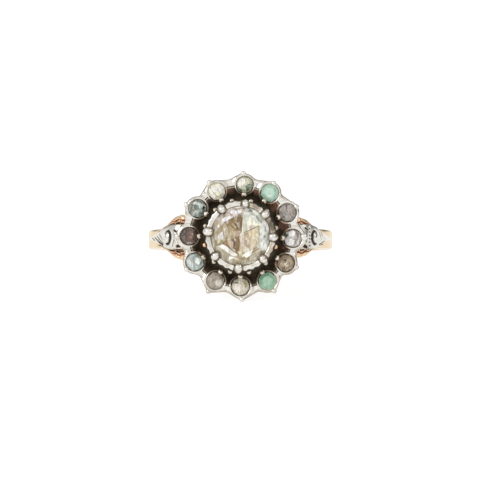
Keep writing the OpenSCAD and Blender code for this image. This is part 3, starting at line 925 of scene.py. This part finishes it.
for turn in np.linspace(0, 2 * pi, collet_steps, endpoint=False):
    near = min(abs((turn - c + pi) % (2 * pi) - pi) for c in claw_turns)
    dip = rim_dip * (1 - max(0.0, cos(near * 4)) ** 2)
    rim_darkening = sum(strength * max(0.0, 1 - (abs(turn - middle) / reach) ** 2)
               for middle, reach, strength in dark_rim_spots)
    # A dark line of painted shade flanks each claw, where its drop sits on the rim
    rim_darkening = max(rim_darkening, 0.85 * groove(near * collet_r - 0.47, 0.13))
    for i, (r, z, cut) in enumerate(collet_profile):
        high = max(0.0, (z - star_z) / (collet_z - star_z))
        flute = flute_depth * sin(turn * flutes) * (6 <= i <= 10)
        collet_points.append(around(turn, r + flute, z - dip * high ** 3 * (7 <= i <= 17)))
        collet_cuts.append(min(1.0, cut + rim_darkening))
collet_mesh = raw_mesh("silver_collet", collet_points,
                       quads(collet_steps, len(collet_profile), closed_rows=True),
                       recess=collet_cuts)
set_piece(collet_mesh, silver, "silver", "cluster_setting")

# Claws of the centre stone
# Eight claws rise up the collet and bend over the edge of the centre stone. Each is a drop of
# silver, rounded and polished on top, drawn out to a tail on the outside.
claw_r = 3.4
claw_rings = [(collet_r - 0.02, collet_z - 1.5, 0.06), (collet_r + 0.02, collet_z - 1.1, 0.12),
              (collet_r + 0.05, collet_z - 0.7, 0.18), (collet_r + 0.04, collet_z - 0.38, 0.25),
              (collet_r - 0.02, collet_z - 0.1, 0.33), (collet_r - 0.14, collet_z + 0.06, 0.4),
              (collet_r - 0.28, collet_z + 0.11, 0.43), (collet_r - 0.42, collet_z + 0.11, 0.42),
              (collet_r - 0.5, collet_z + 0.07, 0.34), (collet_r - 0.56, collet_z + 0.02, 0.25),
              (collet_r - 0.6, collet_z - 0.02, 0.12)]
# How soiled each ring of a claw is, foot first, the size of each claw, and how broad they are
claw_soils = [0.6, 0.5, 0.35, 0.2, 0.1, 0, 0, 0, 0, 0.2, 0.5]
claw_sizes = [0.84, 0.95, 1.0, 0.92, 1.0, 0.94, 1.08, 0.95]
claw_broad = 1.12
drop_steps = 24
drop_points, drop_soil_and_shade = [], []
for k, (r, z, round_r) in enumerate(claw_rings):
    before, after = claw_rings[max(0, k - 1)], claw_rings[min(len(claw_rings) - 1, k + 1)]
    tilt = atan2(after[1] - before[1], after[0] - before[0])
    for turn in np.linspace(0, 2 * pi, drop_steps, endpoint=False):
        off = round_r * cos(turn)
        drop_points.append((claw_broad * round_r * sin(turn), r - off * sin(tilt) - claw_r,
                            z + off * cos(tilt) - collet_z))
        # The foot of each drop is painted dark along its sides: painted shade where it meets the rim
        drop_soil_and_shade.append(max(claw_soils[k], 0.95 * abs(sin(turn)) ** 4))
drop_faces = quads(len(claw_rings), drop_steps) + end_caps(len(claw_rings), drop_steps)
drop_mesh = scattered(
    "silver_claws", raw_mesh("drop", drop_points, drop_faces, recess=drop_soil_and_shade),
    [(around(turn, claw_r, collet_z), turn, size)
     for turn, size in zip(claw_turns, claw_sizes)], silver)
set_piece(drop_mesh, silver, "silver", "cluster_setting")

# Centre stone
# A rose-cut diamond of about 6.6 mm with a champagne tint: a flat back, six long facets that meet at
# a low point, and eighteen small ones round them. It sits in the collet, which is open behind it. It
# shows straw, olive and brown, with white flashes near the edge: its tint, with its reflections,
# light and shade painted on its facets.
rose_r = 3.3
rose_edge = 0.12
rose_crown = 1.4
rose_hex_r = 0.64
rose_hex_rise = 0.6
rose_turn = radians(4)
rose_sides = 12
rose_hex = 6
rose_cuts = 34
rose_soft = 2
# The picture's mean colour at one small place in the lower left of the stone
rose_back_tone = "#8b7a5f"
seat_z = collet_z - collet_seat
# Tones of the six long facets, clockwise from the top right, and of the three small facets past each
# corner: before it, at it and after it. Each is the stone's tint with its reflections, light and
# shade painted in.
rose_star = ["#e2e0cc", "#d6c19a", "#c0aa86", "#856845", "#ad9b78", "#967d54"]
rose_skirt = [("#d5ccc4", "#dcdbd2", "#d6dace"), ("#dfe0d5", "#d9dcd2", "#d4d8ce"),
              ("#d6dcd2", "#b5a88c", "#ada07f"), ("#b6aa88", "#b3a684", "#aea184"),
              ("#ab9f82", "#a5997e", "#a89776"), ("#b3a28a", "#c0ac9f", "#c9b8ad")]
# Flakes of light and shade as the stone shows them from the front: a tone and the flake's corners,
# to the right and up, as shares of the stone's radius in hundredths. They follow the picture, but
# they aren't a fresh reading of it: about half the corners are within two hundredths of an older
# list, whose marks were made by eye and turned into shares by a scratch script.
rose_flakes = [
    # Upper right facet
    ("#dde1ca", [(10, 62), (24, 56), (24, 20), (10, 12)]),
    ("#f6f4dc", [(27, 60), (42, 50), (56, 34), (27, 34)]),
    ("#dfe5d6", [(40, 60), (62, 55), (60, 42), (44, 46)]),
    ("#d9c8b8", [(24, 31), (44, 31), (40, 24), (20, 17)]),
    ("#ebe2b4", [(46, 34), (61, 36), (61, 29), (50, 27)]),
    # Right facet
    ("#e8d6aa", [(29, 14), (59, 28), (59, -2), (28, 0)]),
    ("#bda58a", [(4, 2), (25, 11), (27, -36), (3, -36)]),
    ("#cfc09e", [(29, -12), (57, -10), (57, -30), (29, -40)]),
    ("#b39a78", [(52, -2), (58, -3), (56, -14), (51, -10)]),
    ("#f8eed6", [(30, 0), (35, -8), (30, -7)]),
    ("#f8eed6", [(41, 0), (46, -8), (41, -11)]),
    ("#f3e6d4", [(18, -6), (23, -11), (19, -14)]),
    # Lower right facet
    ("#c9bda4", [(0, -44), (30, -42), (36, -44), (12, -56), (0, -52)]),
    ("#d8cfa0", [(-8, -50), (4, -53), (5, -66), (-3, -66)]),
    # Lower left facet
    ("#8f7350", [(-22, -8), (0, 0), (-3, -38), (-20, -40)]),
    ("#a98a62", [(-50, -23), (-36, -16), (-24, -20), (-24, -38), (-32, -38)]),
    ("#b47f3c", [(-48, -24), (-38, -18), (-36, -32)]),
    ("#e2b270", [(-36, -19), (-32, -19), (-31, -37), (-35, -35)]),
    ("#6b5034", [(-24, -15), (-17, -14), (-17, -36), (-23, -36)]),
    ("#7b6044", [(-9, -8), (-5, -7), (-4, -36), (-8, -37)]),
    # Left facet
    ("#b5a582", [(-60, 34), (-46, 38), (-42, 8), (-56, 16)]),
    ("#d3c7ae", [(-54, 24), (-49, 26), (-48, -6), (-53, -8)]),
    ("#dacdb6", [(-45, 28), (-41, 26), (-42, 2), (-46, 0)]),
    ("#b5a47c", [(-38, 34), (-22, 26), (-26, -5), (-39, -8)]),
    ("#b79c80", [(-22, 14), (0, 14), (0, 2), (-25, -6)]),
    # Upper left facet
    ("#957a52", [(-35, 52), (-14, 62), (-10, 48), (-36, 42)]),
    ("#806342", [(-14, 63), (5, 67), (4, 26), (-6, 28)]),
    ("#8a7150", [(-36, 42), (-18, 40), (-4, 22), (-26, 24)]),
    ("#bda56f", [(-31, 37), (-26, 40), (-12, 26), (-15, 22)]),
    ("#5c4529", [(-19, 40), (-11, 38), (-10, 31), (-17, 32)]),
    ("#75593a", [(-14, 27), (-6, 26), (-8, 18), (-15, 20)]),
    # Upper edge
    ("#c6b8a8", [(-50, 88), (-30, 90), (-33, 70), (-47, 74)]),
    ("#c9b9a4", [(-4, 87), (13, 89), (12, 75), (3, 77)]),
    ("#f1e9ee", [(-31, 80), (-24, 83), (0, 80), (2, 74), (-22, 68), (-34, 71)]),
    ("#f3f2f8", [(-60, 49), (-46, 44), (-22, 61), (-36, 64), (-56, 56)]),
    ("#f6ece4", [(-20, 95), (-4, 99), (14, 94), (-16, 89)]),
    ("#a08d78", [(-19, 87), (13, 90), (13, 86), (-18, 83)]),
    ("#7f744f", [(-56, 73), (-51, 79), (-46, 74), (-54, 68)]),
    ("#9c9a90", [(-72, 60), (-58, 64), (-64, 50), (-76, 50)]),
    ("#eceae2", [(14, 93), (34, 93), (54, 82), (20, 80)]),
    ("#7d837a", [(23, 80), (31, 84), (41, 82), (28, 76)]),
    ("#efeee2", [(11, 77), (28, 76), (32, 68), (11, 69)]),
    ("#868f84", [(32, 70), (38, 72), (56, 63), (42, 64)]),
    ("#dde6da", [(42, 78), (56, 76), (62, 64), (50, 68)]),
    # Right edge
    ("#eef0e6", [(62, 46), (69, 48), (77, 20), (68, 10)]),
    ("#e8ecdf", [(62, 22), (79, 12), (72, -4), (61, -8)]),
    ("#efe8ec", [(80, 42), (88, 42), (90, 22), (82, 20)]),
    ("#a7b0ac", [(77, 30), (81, 28), (83, 13), (79, 12)]),
    ("#8f9b97", [(74, 0), (82, 3), (82, -6), (74, -6)]),
    ("#eef5ec", [(60, -28), (74, -14), (78, -12), (70, -34)]),
    ("#faf9f6", [(74, -30), (86, -19), (86, -44), (80, -42)]),
    # Lower edge
    ("#d2c5ae", [(42, -46), (60, -38), (70, -44), (50, -56)]),
    ("#a3946a", [(0, -72), (30, -69), (40, -66), (30, -80), (4, -78)]),
    ("#99917c", [(62, -50), (78, -46), (81, -56), (68, -61)]),
    ("#f4ebdd", [(44, -73), (52, -66), (50, -72), (46, -76)]),
    ("#f6efe2", [(38, -85), (55, -76), (55, -80), (40, -89)]),
    ("#d5d8c4", [(14, -84), (34, -84), (34, -90), (16, -92)]),
    ("#efece4", [(-70, -34), (-58, -28), (-40, -34), (-20, -44), (-8, -62), (-22, -66), (-46, -50)]),
    ("#e2e9da", [(-46, -38), (-24, -44), (-25, -52), (-40, -49)]),
    ("#fffdf6", [(-38, -66), (-18, -70), (-36, -76)]),
    ("#a39a80", [(-50, -54), (-36, -58), (-38, -76), (-58, -68)]),
    ("#a8a092", [(-52, -78), (-26, -77), (-26, -90), (-44, -87)]),
    ("#ddd0a4", [(-20, -71), (-4, -74), (-5, -80), (-18, -76)]),
    # Left edge
    ("#e9e4e2", [(-72, 0), (-58, 14), (-54, -4), (-58, -14), (-72, -12)]),
    ("#d8d29a", [(-73, -14), (-62, -12), (-64, -22), (-74, -24)]),
    ("#8e8a5e", [(-65, -19), (-58, -11), (-56, -18), (-65, -26)]),
    ("#fdf4ec", [(-74, 33), (-69, 36), (-68, 28), (-74, 25)]),
    ("#ad9a92", [(-86, 30), (-76, 34), (-72, 20), (-84, 14)]),
    ("#8a7c60", [(-80, -28), (-58, -25), (-70, -34)]),
    ("#85796a", [(-80, -34), (-73, -40), (-58, -58), (-68, -54)]),
    # The edges between the facets, which show as thin lines
    ("#75603f", [(4, 68), (8, 67), (4, 8), (1, 8)]),
    ("#f3ecdd", [(8, 65), (11, 64), (7, 14), (5, 10)]),
    ("#8f7c58", [(4, 4), (4, 7), (60, 34), (60, 30)]),
    ("#8d7c4e", [(-2, -78), (0, -75), (57, -40), (60, -43)]),
    ("#7b6740", [(-57, -25), (-54, -22), (-5, -60), (-7, -63)]),
    ("#85775a", [(-60, 34), (-60, 38), (2, 73), (3, 70)]),
    ("#a5a188", [(58, 32), (61, 32), (61, -34), (58, -34)]),
    ("#8f958d", [(25, 88), (27, 91), (70, 42), (67, 40)]),
    ("#84704c", [(-58, -22), (-57, -25), (0, -3), (0, 0)]),
    # The brightest flash, which lies over the lower edge's line
    ("#fffdf4", [(10, -60), (38, -44), (34, -62), (18, -71), (4, -64)]),
    ("#f0e9ba", [(3, -64), (11, -57), (13, -68), (6, -68)])]


def facet_material(name, rough, ior, dark, light, shard, speck_share, cloudy):
    """A cut stone: the tone of each facet, painted shards of light and shade as the facets behind it
    reflect, a given size in millimetres, streaks, inclusions and specks, and a hard polish."""
    material, tree, place = new_material(name)
    tone = add_node(tree, "ShaderNodeAttribute", attribute_name="tone").outputs["Color"]
    turned = add_node(tree, "ShaderNodeMapping", {
        "Vector": place, "Rotation": (0.3, 0.2, 0.6), "Scale": (1.0, 0.45, 0.7)})
    cells = add_node(tree, "ShaderNodeTexVoronoi", {
        "Vector": turned.outputs["Vector"], "Scale": 1 / shard, "Randomness": 1.0})
    cell = add_node(tree, "ShaderNodeSeparateXYZ", {0: cells.outputs["Color"]}).outputs
    streaks = grain(tree, add_node(tree, "ShaderNodeMapping", {
        "Vector": place, "Rotation": (0, 0, 0.35), "Scale": (3.2, 0.8, 1.0)}).outputs["Vector"],
        1.6, 5.0, 0.7)
    colour = mix(tree, ramp(tree, cell["X"], 0.5, 0.8, 0.0, 0.3), tone, dark)
    colour = mix(tree, ramp(tree, cell["Y"], 0.6, 0.9, 0.0, 0.34), colour, light)
    colour = mix(tree, ramp(tree, streaks, 0.48, 0.7, 0.0, 0.45), colour, dark)
    # Inclusions about 0.2 mm across
    within = grain(tree, turned.outputs["Vector"], 5.2, 4.0, 0.65)
    colour = mix(tree, ramp(tree, within, 0.5, 0.68, 0.0, cloudy * 1.1), colour, dark)
    colour = mix(tree, ramp(tree, within, 0.48, 0.3, 0.0, cloudy), colour, light)
    colour = add_node(tree, "ShaderNodeBrightContrast", {
        "Color": colour, "Contrast": 0.14}).outputs[0]
    colour = add_node(tree, "ShaderNodeHueSaturation", {
        "Color": colour, "Saturation": 0.8, "Value": 1.0}).outputs[0]
    specks = ramp(tree, grain(tree, place, 4.5, 2.0), 0.62, 0.72, 0.0, speck_share)
    finish_material(tree, mix(tree, specks, colour, "#2c231b"), rough, 0.0, IOR=ior)
    return material


def fine_facets(points, faces, steps):
    """Cuts three-sided facets into small ones that can be painted. Gives all points, the small
    faces, and the number of the facet that each is a part of."""
    placed, fine, owners = {}, [], []
    points = np.asarray(points, float)
    for number, face in enumerate(faces):
        a, b, c = points[face]
        row = [[placed.setdefault(tuple(np.round(a + (b - a) * i / steps + (c - a) * j / steps, 5)),
                                  len(placed)) for j in range(steps + 1 - i)]
               for i in range(steps + 1)]
        for i in range(steps):
            for j in range(steps - i):
                fine.append([row[i][j], row[i + 1][j], row[i][j + 1]])
                if j < steps - i - 1:
                    fine.append([row[i + 1][j], row[i + 1][j + 1], row[i][j + 1]])
        owners += [number] * (steps * steps)
    return np.array(list(placed)), fine, owners


def painted(name, points, faces, owners, tones, flakes, centre, radius, soft):
    """A faceted stone whose small faces carry their facet's tone and the flakes over it."""
    mesh = raw_mesh(name, points, faces, smooth=False)
    points = np.asarray(points, float)
    at = (points[np.array(faces)].mean(axis=1)[:, :2] - centre) / radius * 100
    colours = np.array([linear(tone) for tone in tones])[owners]
    for tone, corners in flakes:
        corners = np.array(corners, float)
        along = np.roll(corners, -1, axis=0) - corners
        along /= np.linalg.norm(along, axis=1)[:, None]
        off = at[:, None, :] - corners[None]
        inside = off[..., 0] * along[:, 1] - off[..., 1] * along[:, 0]
        middle = corners.mean(axis=0) - corners
        inside *= np.sign(middle[:, 0] * along[:, 1] - middle[:, 1] * along[:, 0])
        share = np.clip(inside.min(axis=1) / soft + 0.5, 0, 1)[:, None]
        colours = colours * (1 - share) + np.array(linear(tone)) * share
    mesh.attributes.new("tone", "FLOAT_COLOR", "FACE").data.foreach_set("color", colours.ravel())
    return mesh


diamond = facet_material("rose_cut_diamond", rough=0.03, ior=1.6, dark="#6a5636",
                         light="#f7f4e6", shard=0.3, speck_share=0.3, cloudy=0.2)
rose_points = []
for r, z, count in ((rose_r, 0, rose_sides), (rose_r, rose_edge, rose_sides),
                    (rose_r * rose_hex_r, rose_edge + rose_crown * rose_hex_rise, rose_hex)):
    rose_points += [around(rose_turn + 2 * pi * k / count, r, seat_z + z) for k in range(count)]
rose_points.append((0, 0, seat_z + rose_edge + rose_crown))
rose_points.append((0, 0, seat_z))
rose_faces, rose_marks = [], []
rose_ring = 2 * rose_sides
rose_top, rose_heart = rose_ring + rose_hex, rose_ring + rose_hex + 1
for k in range(rose_sides):
    n = (k + 1) % rose_sides
    rose_faces += [[rose_heart, n, k], [k, n, rose_sides + k],
                   [n, rose_sides + n, rose_sides + k]]
    rose_marks += [rose_back_tone] * 3
for k in range(rose_hex):
    corner, after = rose_ring + k, rose_ring + (k + 1) % rose_hex
    at, past = rose_sides + 2 * k, rose_sides + 2 * k + 1
    before = rose_sides + (2 * k - 1) % rose_sides
    rose_faces += [[corner, before, at], [corner, at, past], [corner, past, after],
                   [corner, after, rose_top]]
    rose_marks += list(rose_skirt[k]) + [rose_star[k]]
rose_mesh = painted("rose_cut_centre", *fine_facets(rose_points, rose_faces, rose_cuts),
                    rose_marks, rose_flakes, (0, 0), rose_r, rose_soft)
set_piece(rose_mesh, diamond, "centre_diamond", "centre_stone")

# Small stones
# Twelve old-cut stones of about 1.9 mm, no two alike: pale and smoky diamonds and two milky
# green ones. Each has an eight-sided table, eight crown facets and eight below. They are pushed
# into their cups from above.
# For each stone: its slot, its tone, the tone of its rim, its dark and light shards, its specks, and
# its flakes, written as the centre stone's are
# The flakes and shards paint each stone's reflections, light and shade over its tone, and the rim's
# tone is painted shade at its edge
small_looks = [
    ("cream_stone", "#c0bfa2", "#8f9070", "#6f745c", "#f2f0e2", 0.3, [
        ("#e8e4d4", [(-95, 30), (-60, 70), (0, 80), (30, 40), (0, 10), (-20, -60), (-50, -40),
                     (-90, 0)]),
        ("#bfbf96", [(10, 70), (50, 65), (80, 30), (50, 20), (20, 40)]),
        ("#6c7b69", [(0, -10), (30, 10), (80, 10), (80, -50), (20, -80)]),
        ("#89967f", [(20, -10), (60, 0), (60, -40)]),
        ("#62655a", [(-100, -20), (-80, -20), (-30, -70), (-50, -95), (-100, -60)])]),
    ("sea_green_stone", "#9dbfa8", "#8ab39b", "#86b89e", "#b9d6c4", 0.05, [
        ("#bad3c1", [(-80, 10), (-30, 60), (30, 60), (60, 0), (40, -60), (-60, -40)]),
        ("#7fae92", [(50, 60), (80, 20), (95, -30), (70, -70), (60, 0)]),
        ("#cbdfcd", [(-20, -20), (20, -20), (40, -60), (0, -75)]),
        ("#84a890", [(-70, 60), (-50, 80), (-40, 50), (-70, 30)])]),
    ("smoke_stone", "#aca49d", "#6b5a4e", "#6b615a", "#c4bbb2", 0.3, [
        ("#b3aba8", [(-60, 60), (-50, 95), (-20, 90), (-20, 40), (-50, 30)]),
        ("#b5a28a", [(0, 40), (40, 40), (40, -10), (0, 0)]),
        ("#a49e98", [(-80, 10), (-30, 20), (20, -40), (0, -80), (-40, -80)]),
        ("#6f645c", [(-20, 95), (0, 90), (-4, 20), (-20, 40)]),
        ("#796f68", [(-20, 30), (-14, 36), (70, -60), (65, -68)]),
        ("#c4b69c", [(10, 20), (30, 20), (20, -10)])]),
    ("white_stone", "#bfb7b0", "#776b62", "#a0958e", "#ffffff", 0.3, [
        ("#f4f4f2", [(-80, -20), (-40, 0), (10, -20), (10, -70), (-40, -90), (-80, -60)]),
        ("#fdfdfd", [(-20, 80), (10, 85), (30, 60), (10, 20), (-40, 20), (-40, 60)]),
        ("#4d5e50", [(-85, 40), (-60, 50), (-45, 30), (-60, 5), (-80, 10)]),
        ("#857a70", [(20, 90), (70, 60), (60, 0), (20, 20), (30, 60)]),
        ("#988b81", [(20, 0), (60, 0), (50, -70), (20, -80)]),
        ("#f3efee", [(-10, -20), (20, -20), (10, -50)])]),
    ("brown_stone", "#a38e72", "#4a3a2c", "#5d4c3a", "#e0d2ae", 0.8, [
        ("#b39f82", [(-70, 20), (-40, 60), (20, 60), (50, 0), (20, -40), (-60, -40)]),
        ("#bba680", [(30, 60), (60, 30), (60, -20), (30, 0)]),
        ("#584531", [(-30, 40), (10, 40), (20, 20), (-20, 20)]),
        ("#d9c8a4", [(-60, 20), (-40, 10), (-40, -10), (-70, -20)]),
        ("#e0cfab", [(-20, 0), (10, 0), (20, -20), (0, -40), (-20, -20)]),
        ("#806a4e", [(-40, -40), (0, -40), (0, -80), (-40, -80)])]),
    ("green_stone", "#87ab8c", "#83ae8e", "#78ad8a", "#aad2b6", 0.15, [
        ("#9fc3a4", [(-60, 20), (0, 60), (60, 20), (40, -40), (-40, -50)]),
        ("#74a07d", [(-95, 30), (-60, 30), (-60, -60), (-80, -40)]),
        ("#80a687", [(-30, 90), (30, 90), (40, 60), (-30, 60)]),
        ("#5a8062", [(-45, 55), (-35, 60), (-30, 50), (-40, 44)])]),
    ("champagne_stone", "#d3cab3", "#4d402f", "#7d6e54", "#efe9d8", 0.8, [
        ("#e6dccb", [(-85, 20), (-40, 30), (0, 20), (0, -70), (-60, -60)]),
        ("#fbf6ec", [(-60, 30), (-30, 25), (-30, -5), (-55, -5)]),
        ("#2f261d", [(-85, 40), (-60, 48), (-25, 45), (-25, 30), (-60, 36)]),
        ("#cdbf91", [(30, 65), (80, 50), (90, 0), (60, -10), (30, 20)]),
        ("#e4dac6", [(20, -20), (60, -20), (40, -70), (20, -60)]),
        ("#8a7c60", [(14, 10), (18, 10), (20, -60), (14, -60)]),
        ("#8a7c60", [(50, 0), (70, 0), (70, -8), (52, -8)])]),
    ("taupe_stone", "#a69a88", "#857a69", "#83786a", "#c0b7a6", 0.2, [
        ("#b0a493", [(-90, 60), (-40, 90), (10, 70), (0, 10), (-80, 0)]),
        ("#9d927e", [(-80, -20), (-30, 0), (0, -60), (-40, -80)]),
        ("#d5d1c2", [(-10, -10), (10, 10), (60, 5), (80, -30), (50, -70), (0, -50)]),
        ("#857f6f", [(60, 70), (105, 40), (110, -20), (75, -10)]),
        ("#8f8573", [(10, 80), (40, 80), (60, 60), (40, 60)])]),
    ("mint_stone", "#a9b1ab", "#6f7d78", "#84938c", "#edf4ee", 0.3, [
        ("#c6cac6", [(-90, 60), (-40, 95), (-10, 80), (-10, -60), (-70, -50)]),
        ("#8a9e6b", [(10, 105), (50, 100), (55, 60), (15, 65)]),
        ("#e6efe3", [(10, 50), (60, 40), (70, 0), (40, -30), (10, -10)]),
        ("#5c6d63", [(60, 0), (80, 20), (80, -50), (60, -40)]),
        ("#b9c9ba", [(10, -40), (50, -50), (30, -90), (0, -80)]),
        ("#7c8684", [(-20, 60), (-12, 60), (-4, -60), (-12, -60)]),
        ("#8e9896", [(-70, 60), (-64, 62), (-30, 0), (-36, -4)])]),
    ("rose_smoke_stone", "#6e5e56", "#5c5148", "#5a4c45", "#a9907f", 0.3, [
        ("#5f5959", [(-95, 40), (-60, 80), (-20, 70), (-30, -40), (-80, -40)]),
        ("#87705f", [(0, 80), (40, 70), (50, 10), (10, 10)]),
        ("#7f6252", [(-20, 0), (20, 10), (40, -20), (10, -50), (-20, -40)]),
        ("#a58b7c", [(30, 40), (45, 40), (45, 10), (28, 10)]),
        ("#b28c77", [(0, -5), (25, -5), (30, -20), (5, -20)]),
        ("#b8ab96", [(-30, -75), (0, -65), (40, -75), (20, -95), (-20, -95)])]),
    ("grey_green_stone", "#7e837a", "#7c8780", "#5f6d63", "#e3ebe4", 0.4, [
        ("#d6dbd7", [(-60, 60), (-20, 80), (40, 60), (20, 30), (-40, 50)]),
        ("#cfded7", [(10, 40), (50, 50), (75, 40), (40, 0), (20, 0)]),
        ("#141c15", [(35, 10), (70, 30), (80, 10), (60, -10)]),
        ("#7d8175", [(-90, 30), (-20, 40), (0, -20), (-60, -30)]),
        ("#b7bcb1", [(-60, -40), (-20, -20), (10, -50), (-30, -70)]),
        ("#363a37", [(20, 85), (50, 85), (55, 75), (25, 72)]),
        ("#8cada5", [(0, -10), (30, -10), (35, -35), (10, -40)]),
        ("#414d46", [(-25, -45), (-14, -45), (-14, -58), (-25, -58)])]),
    ("ivory_stone", "#ecead9", "#c4c19a", "#a9a488", "#ffffff", 0.3, [
        ("#c9ca7c", [(-60, 80), (-40, 92), (-10, 85), (-20, 65)]),
        ("#f9f7f0", [(-60, 40), (0, 55), (20, 0), (-40, -10)]),
        ("#efe4e0", [(10, 70), (60, 60), (60, 0), (20, 0)]),
        ("#e4dfb0", [(-10, -20), (20, -10), (40, -50), (0, -60)]),
        ("#878170", [(-55, 0), (-48, 4), (10, -60), (4, -66)]),
        ("#60604c", [(-82, 50), (-72, 54), (-66, 30), (-78, 26)]),
        ("#928c79", [(20, 0), (25, 4), (50, -40), (44, -44)])])]
small_crown = 0.34
small_depth = 0.62
small_table = 0.55
small_girdle = 0.02
small_cuts = 12
small_soft = 5
sides = 8
point_below, point_above = 3 * sides, 3 * sides + 1


def rimmed(mesh, centre, radius, tone):
    """Paints shade on a stone's edge, where its crown turns down into the cup."""
    colours = np.zeros(4 * len(mesh.polygons))
    mesh.attributes["tone"].data.foreach_get("color", colours)
    colours = colours.reshape(-1, 4)
    middles = np.array([p.center[:2] for p in mesh.polygons])
    reach = np.hypot(*(middles - centre).T) / radius
    share = (np.clip((reach - 0.78) / 0.2, 0, 1) * 0.85)[:, None]
    colours = colours * (1 - share) + np.array(linear(tone)) * share
    mesh.attributes["tone"].data.foreach_set("color", colours.ravel())


for node, seat, look in zip(stone_nodes, seats, small_looks):
    turn, seat_r, r = seat
    slot, tone, rim_shade, dark, light, specky, flakes = look
    x0, y0, _ = around(turn, seat_r, 0)
    points = []
    for share, z in ((1, -small_girdle), (1, small_girdle), (small_table, small_crown)):
        points += [(x0 + r * share * sin(turn + 2 * pi * k / sides),
                    y0 + r * share * cos(turn + 2 * pi * k / sides), star_z + z)
                   for k in range(sides)]
    points += [(x0, y0, star_z - small_depth), (x0, y0, star_z + small_crown)]
    faces = []
    for k in range(sides):
        n = (k + 1) % sides
        faces += [[point_below, n, k], [2 * sides + k, 2 * sides + n, point_above]]
        for low, high in ((0, sides), (sides, 2 * sides)):
            faces += [[low + k, low + n, high + n], [low + k, high + n, high + k]]
    stone = facet_material(slot + "_cut", rough=0.05, ior=1.6, dark=dark, light=light,
                           shard=0.3, speck_share=specky, cloudy=0.55)
    mesh = painted(slot.replace("_stone", "") + "_cut_" + node[-2:],
                   *fine_facets(points, faces, small_cuts), [tone] * len(faces), flakes,
                   (x0, y0), r, small_soft)
    rimmed(mesh, (x0, y0), r, rim_shade)
    set_piece(mesh, stone, slot, node)

# Studio
# The ring lies on a lit white table in a white room, which is brighter in front, above and on
# the left. Two soft boxes give the silver its shape. The camera looks nearly along the head's
# axis, and the floor is far wider than the picture.
table_half = 1.5
room_glow = 0.3
floor_mesh = bpy.data.meshes.new("white_table")
floor_mesh.from_pydata([(x * table_half, y * table_half, 0)
                        for x, y in ((-1, -1), (1, -1), (1, 1), (-1, 1))], [], [[0, 1, 2, 3]])
white = bpy.data.materials.new("white_acrylic_lit_from_below")
white.use_nodes = True
white.node_tree.nodes.clear()
finish_material(white.node_tree, linear("#8c8c8c"), 0.6, 0.0,
                Emission_Color=linear("#ffffff"), Emission_Strength=0.82)
floor_mesh.materials.append(white)
floor = bpy.data.objects.new("white_table", floor_mesh)
bpy.context.scene.collection.objects.link(floor)

world = bpy.data.worlds.new("white_room")
world.use_nodes = True
tree = world.node_tree
tree.nodes.clear()
way = add_node(tree, "ShaderNodeSeparateXYZ", {
    0: add_node(tree, "ShaderNodeTexCoord").outputs["Generated"]}).outputs
front = ramp(tree, way["Y"], -0.2, -0.92, 0.0, 0.75)
above = ramp(tree, way["Z"], 0.3, 0.85, 0.0, 0.45)
left = ramp(tree, way["X"], -0.4, -0.85, 0.0, 0.42)
glow = total(tree, total(tree, total(tree, front, above), left), room_glow)
add_node(tree, "ShaderNodeOutputWorld", {"Surface": add_node(tree, "ShaderNodeBackground", {
    "Color": linear("#ffffff"), "Strength": glow}).outputs[0]})
bpy.context.scene.world = world
bpy.context.scene.view_settings.view_transform = "Standard"


def soft_box(name, place, aim, width, height, watts):
    """A soft box that faces a point, both in millimetres about the finger hole."""
    light = bpy.data.lights.new(name, "AREA")
    light.shape = "RECTANGLE"
    light.size, light.size_y = width * 0.001, height * 0.001
    light.energy = watts
    box = bpy.data.objects.new(name, light)
    bpy.context.scene.collection.objects.link(box)
    at, towards = (ring_place @ Matrix.Translation(p) for p in (place, aim))
    way = towards.translation - at.translation
    box.location = at.translation
    box.rotation_euler = way.to_track_quat("-Z", "Y").to_euler()


soft_box("soft_box_left", (-260, 160, 260), (0, 0, 11), 160, 160, 0.3)
soft_box("soft_box_right", (300, 220, 180), (0, 0, 11), 120, 200, 0.14)

camera_tilt = radians(1.9)
camera_distance = 350
view_angle = radians(8.63)
camera = bpy.data.cameras.new("camera")
camera.sensor_width = 36
camera.lens = camera.sensor_width / 2 / tan(view_angle / 2)
camera.clip_start = 0.01
eye = bpy.data.objects.new("camera", camera)
bpy.context.scene.collection.objects.link(eye)
eye.matrix_world = (Matrix.Translation(finger_bore["pos_m"]) @ ring_turn
                    @ Matrix.Rotation(camera_tilt, 4, "X")
                    @ Matrix.Translation((-0.00005, 0, camera_distance * 0.001)))
bpy.context.scene.camera = eye
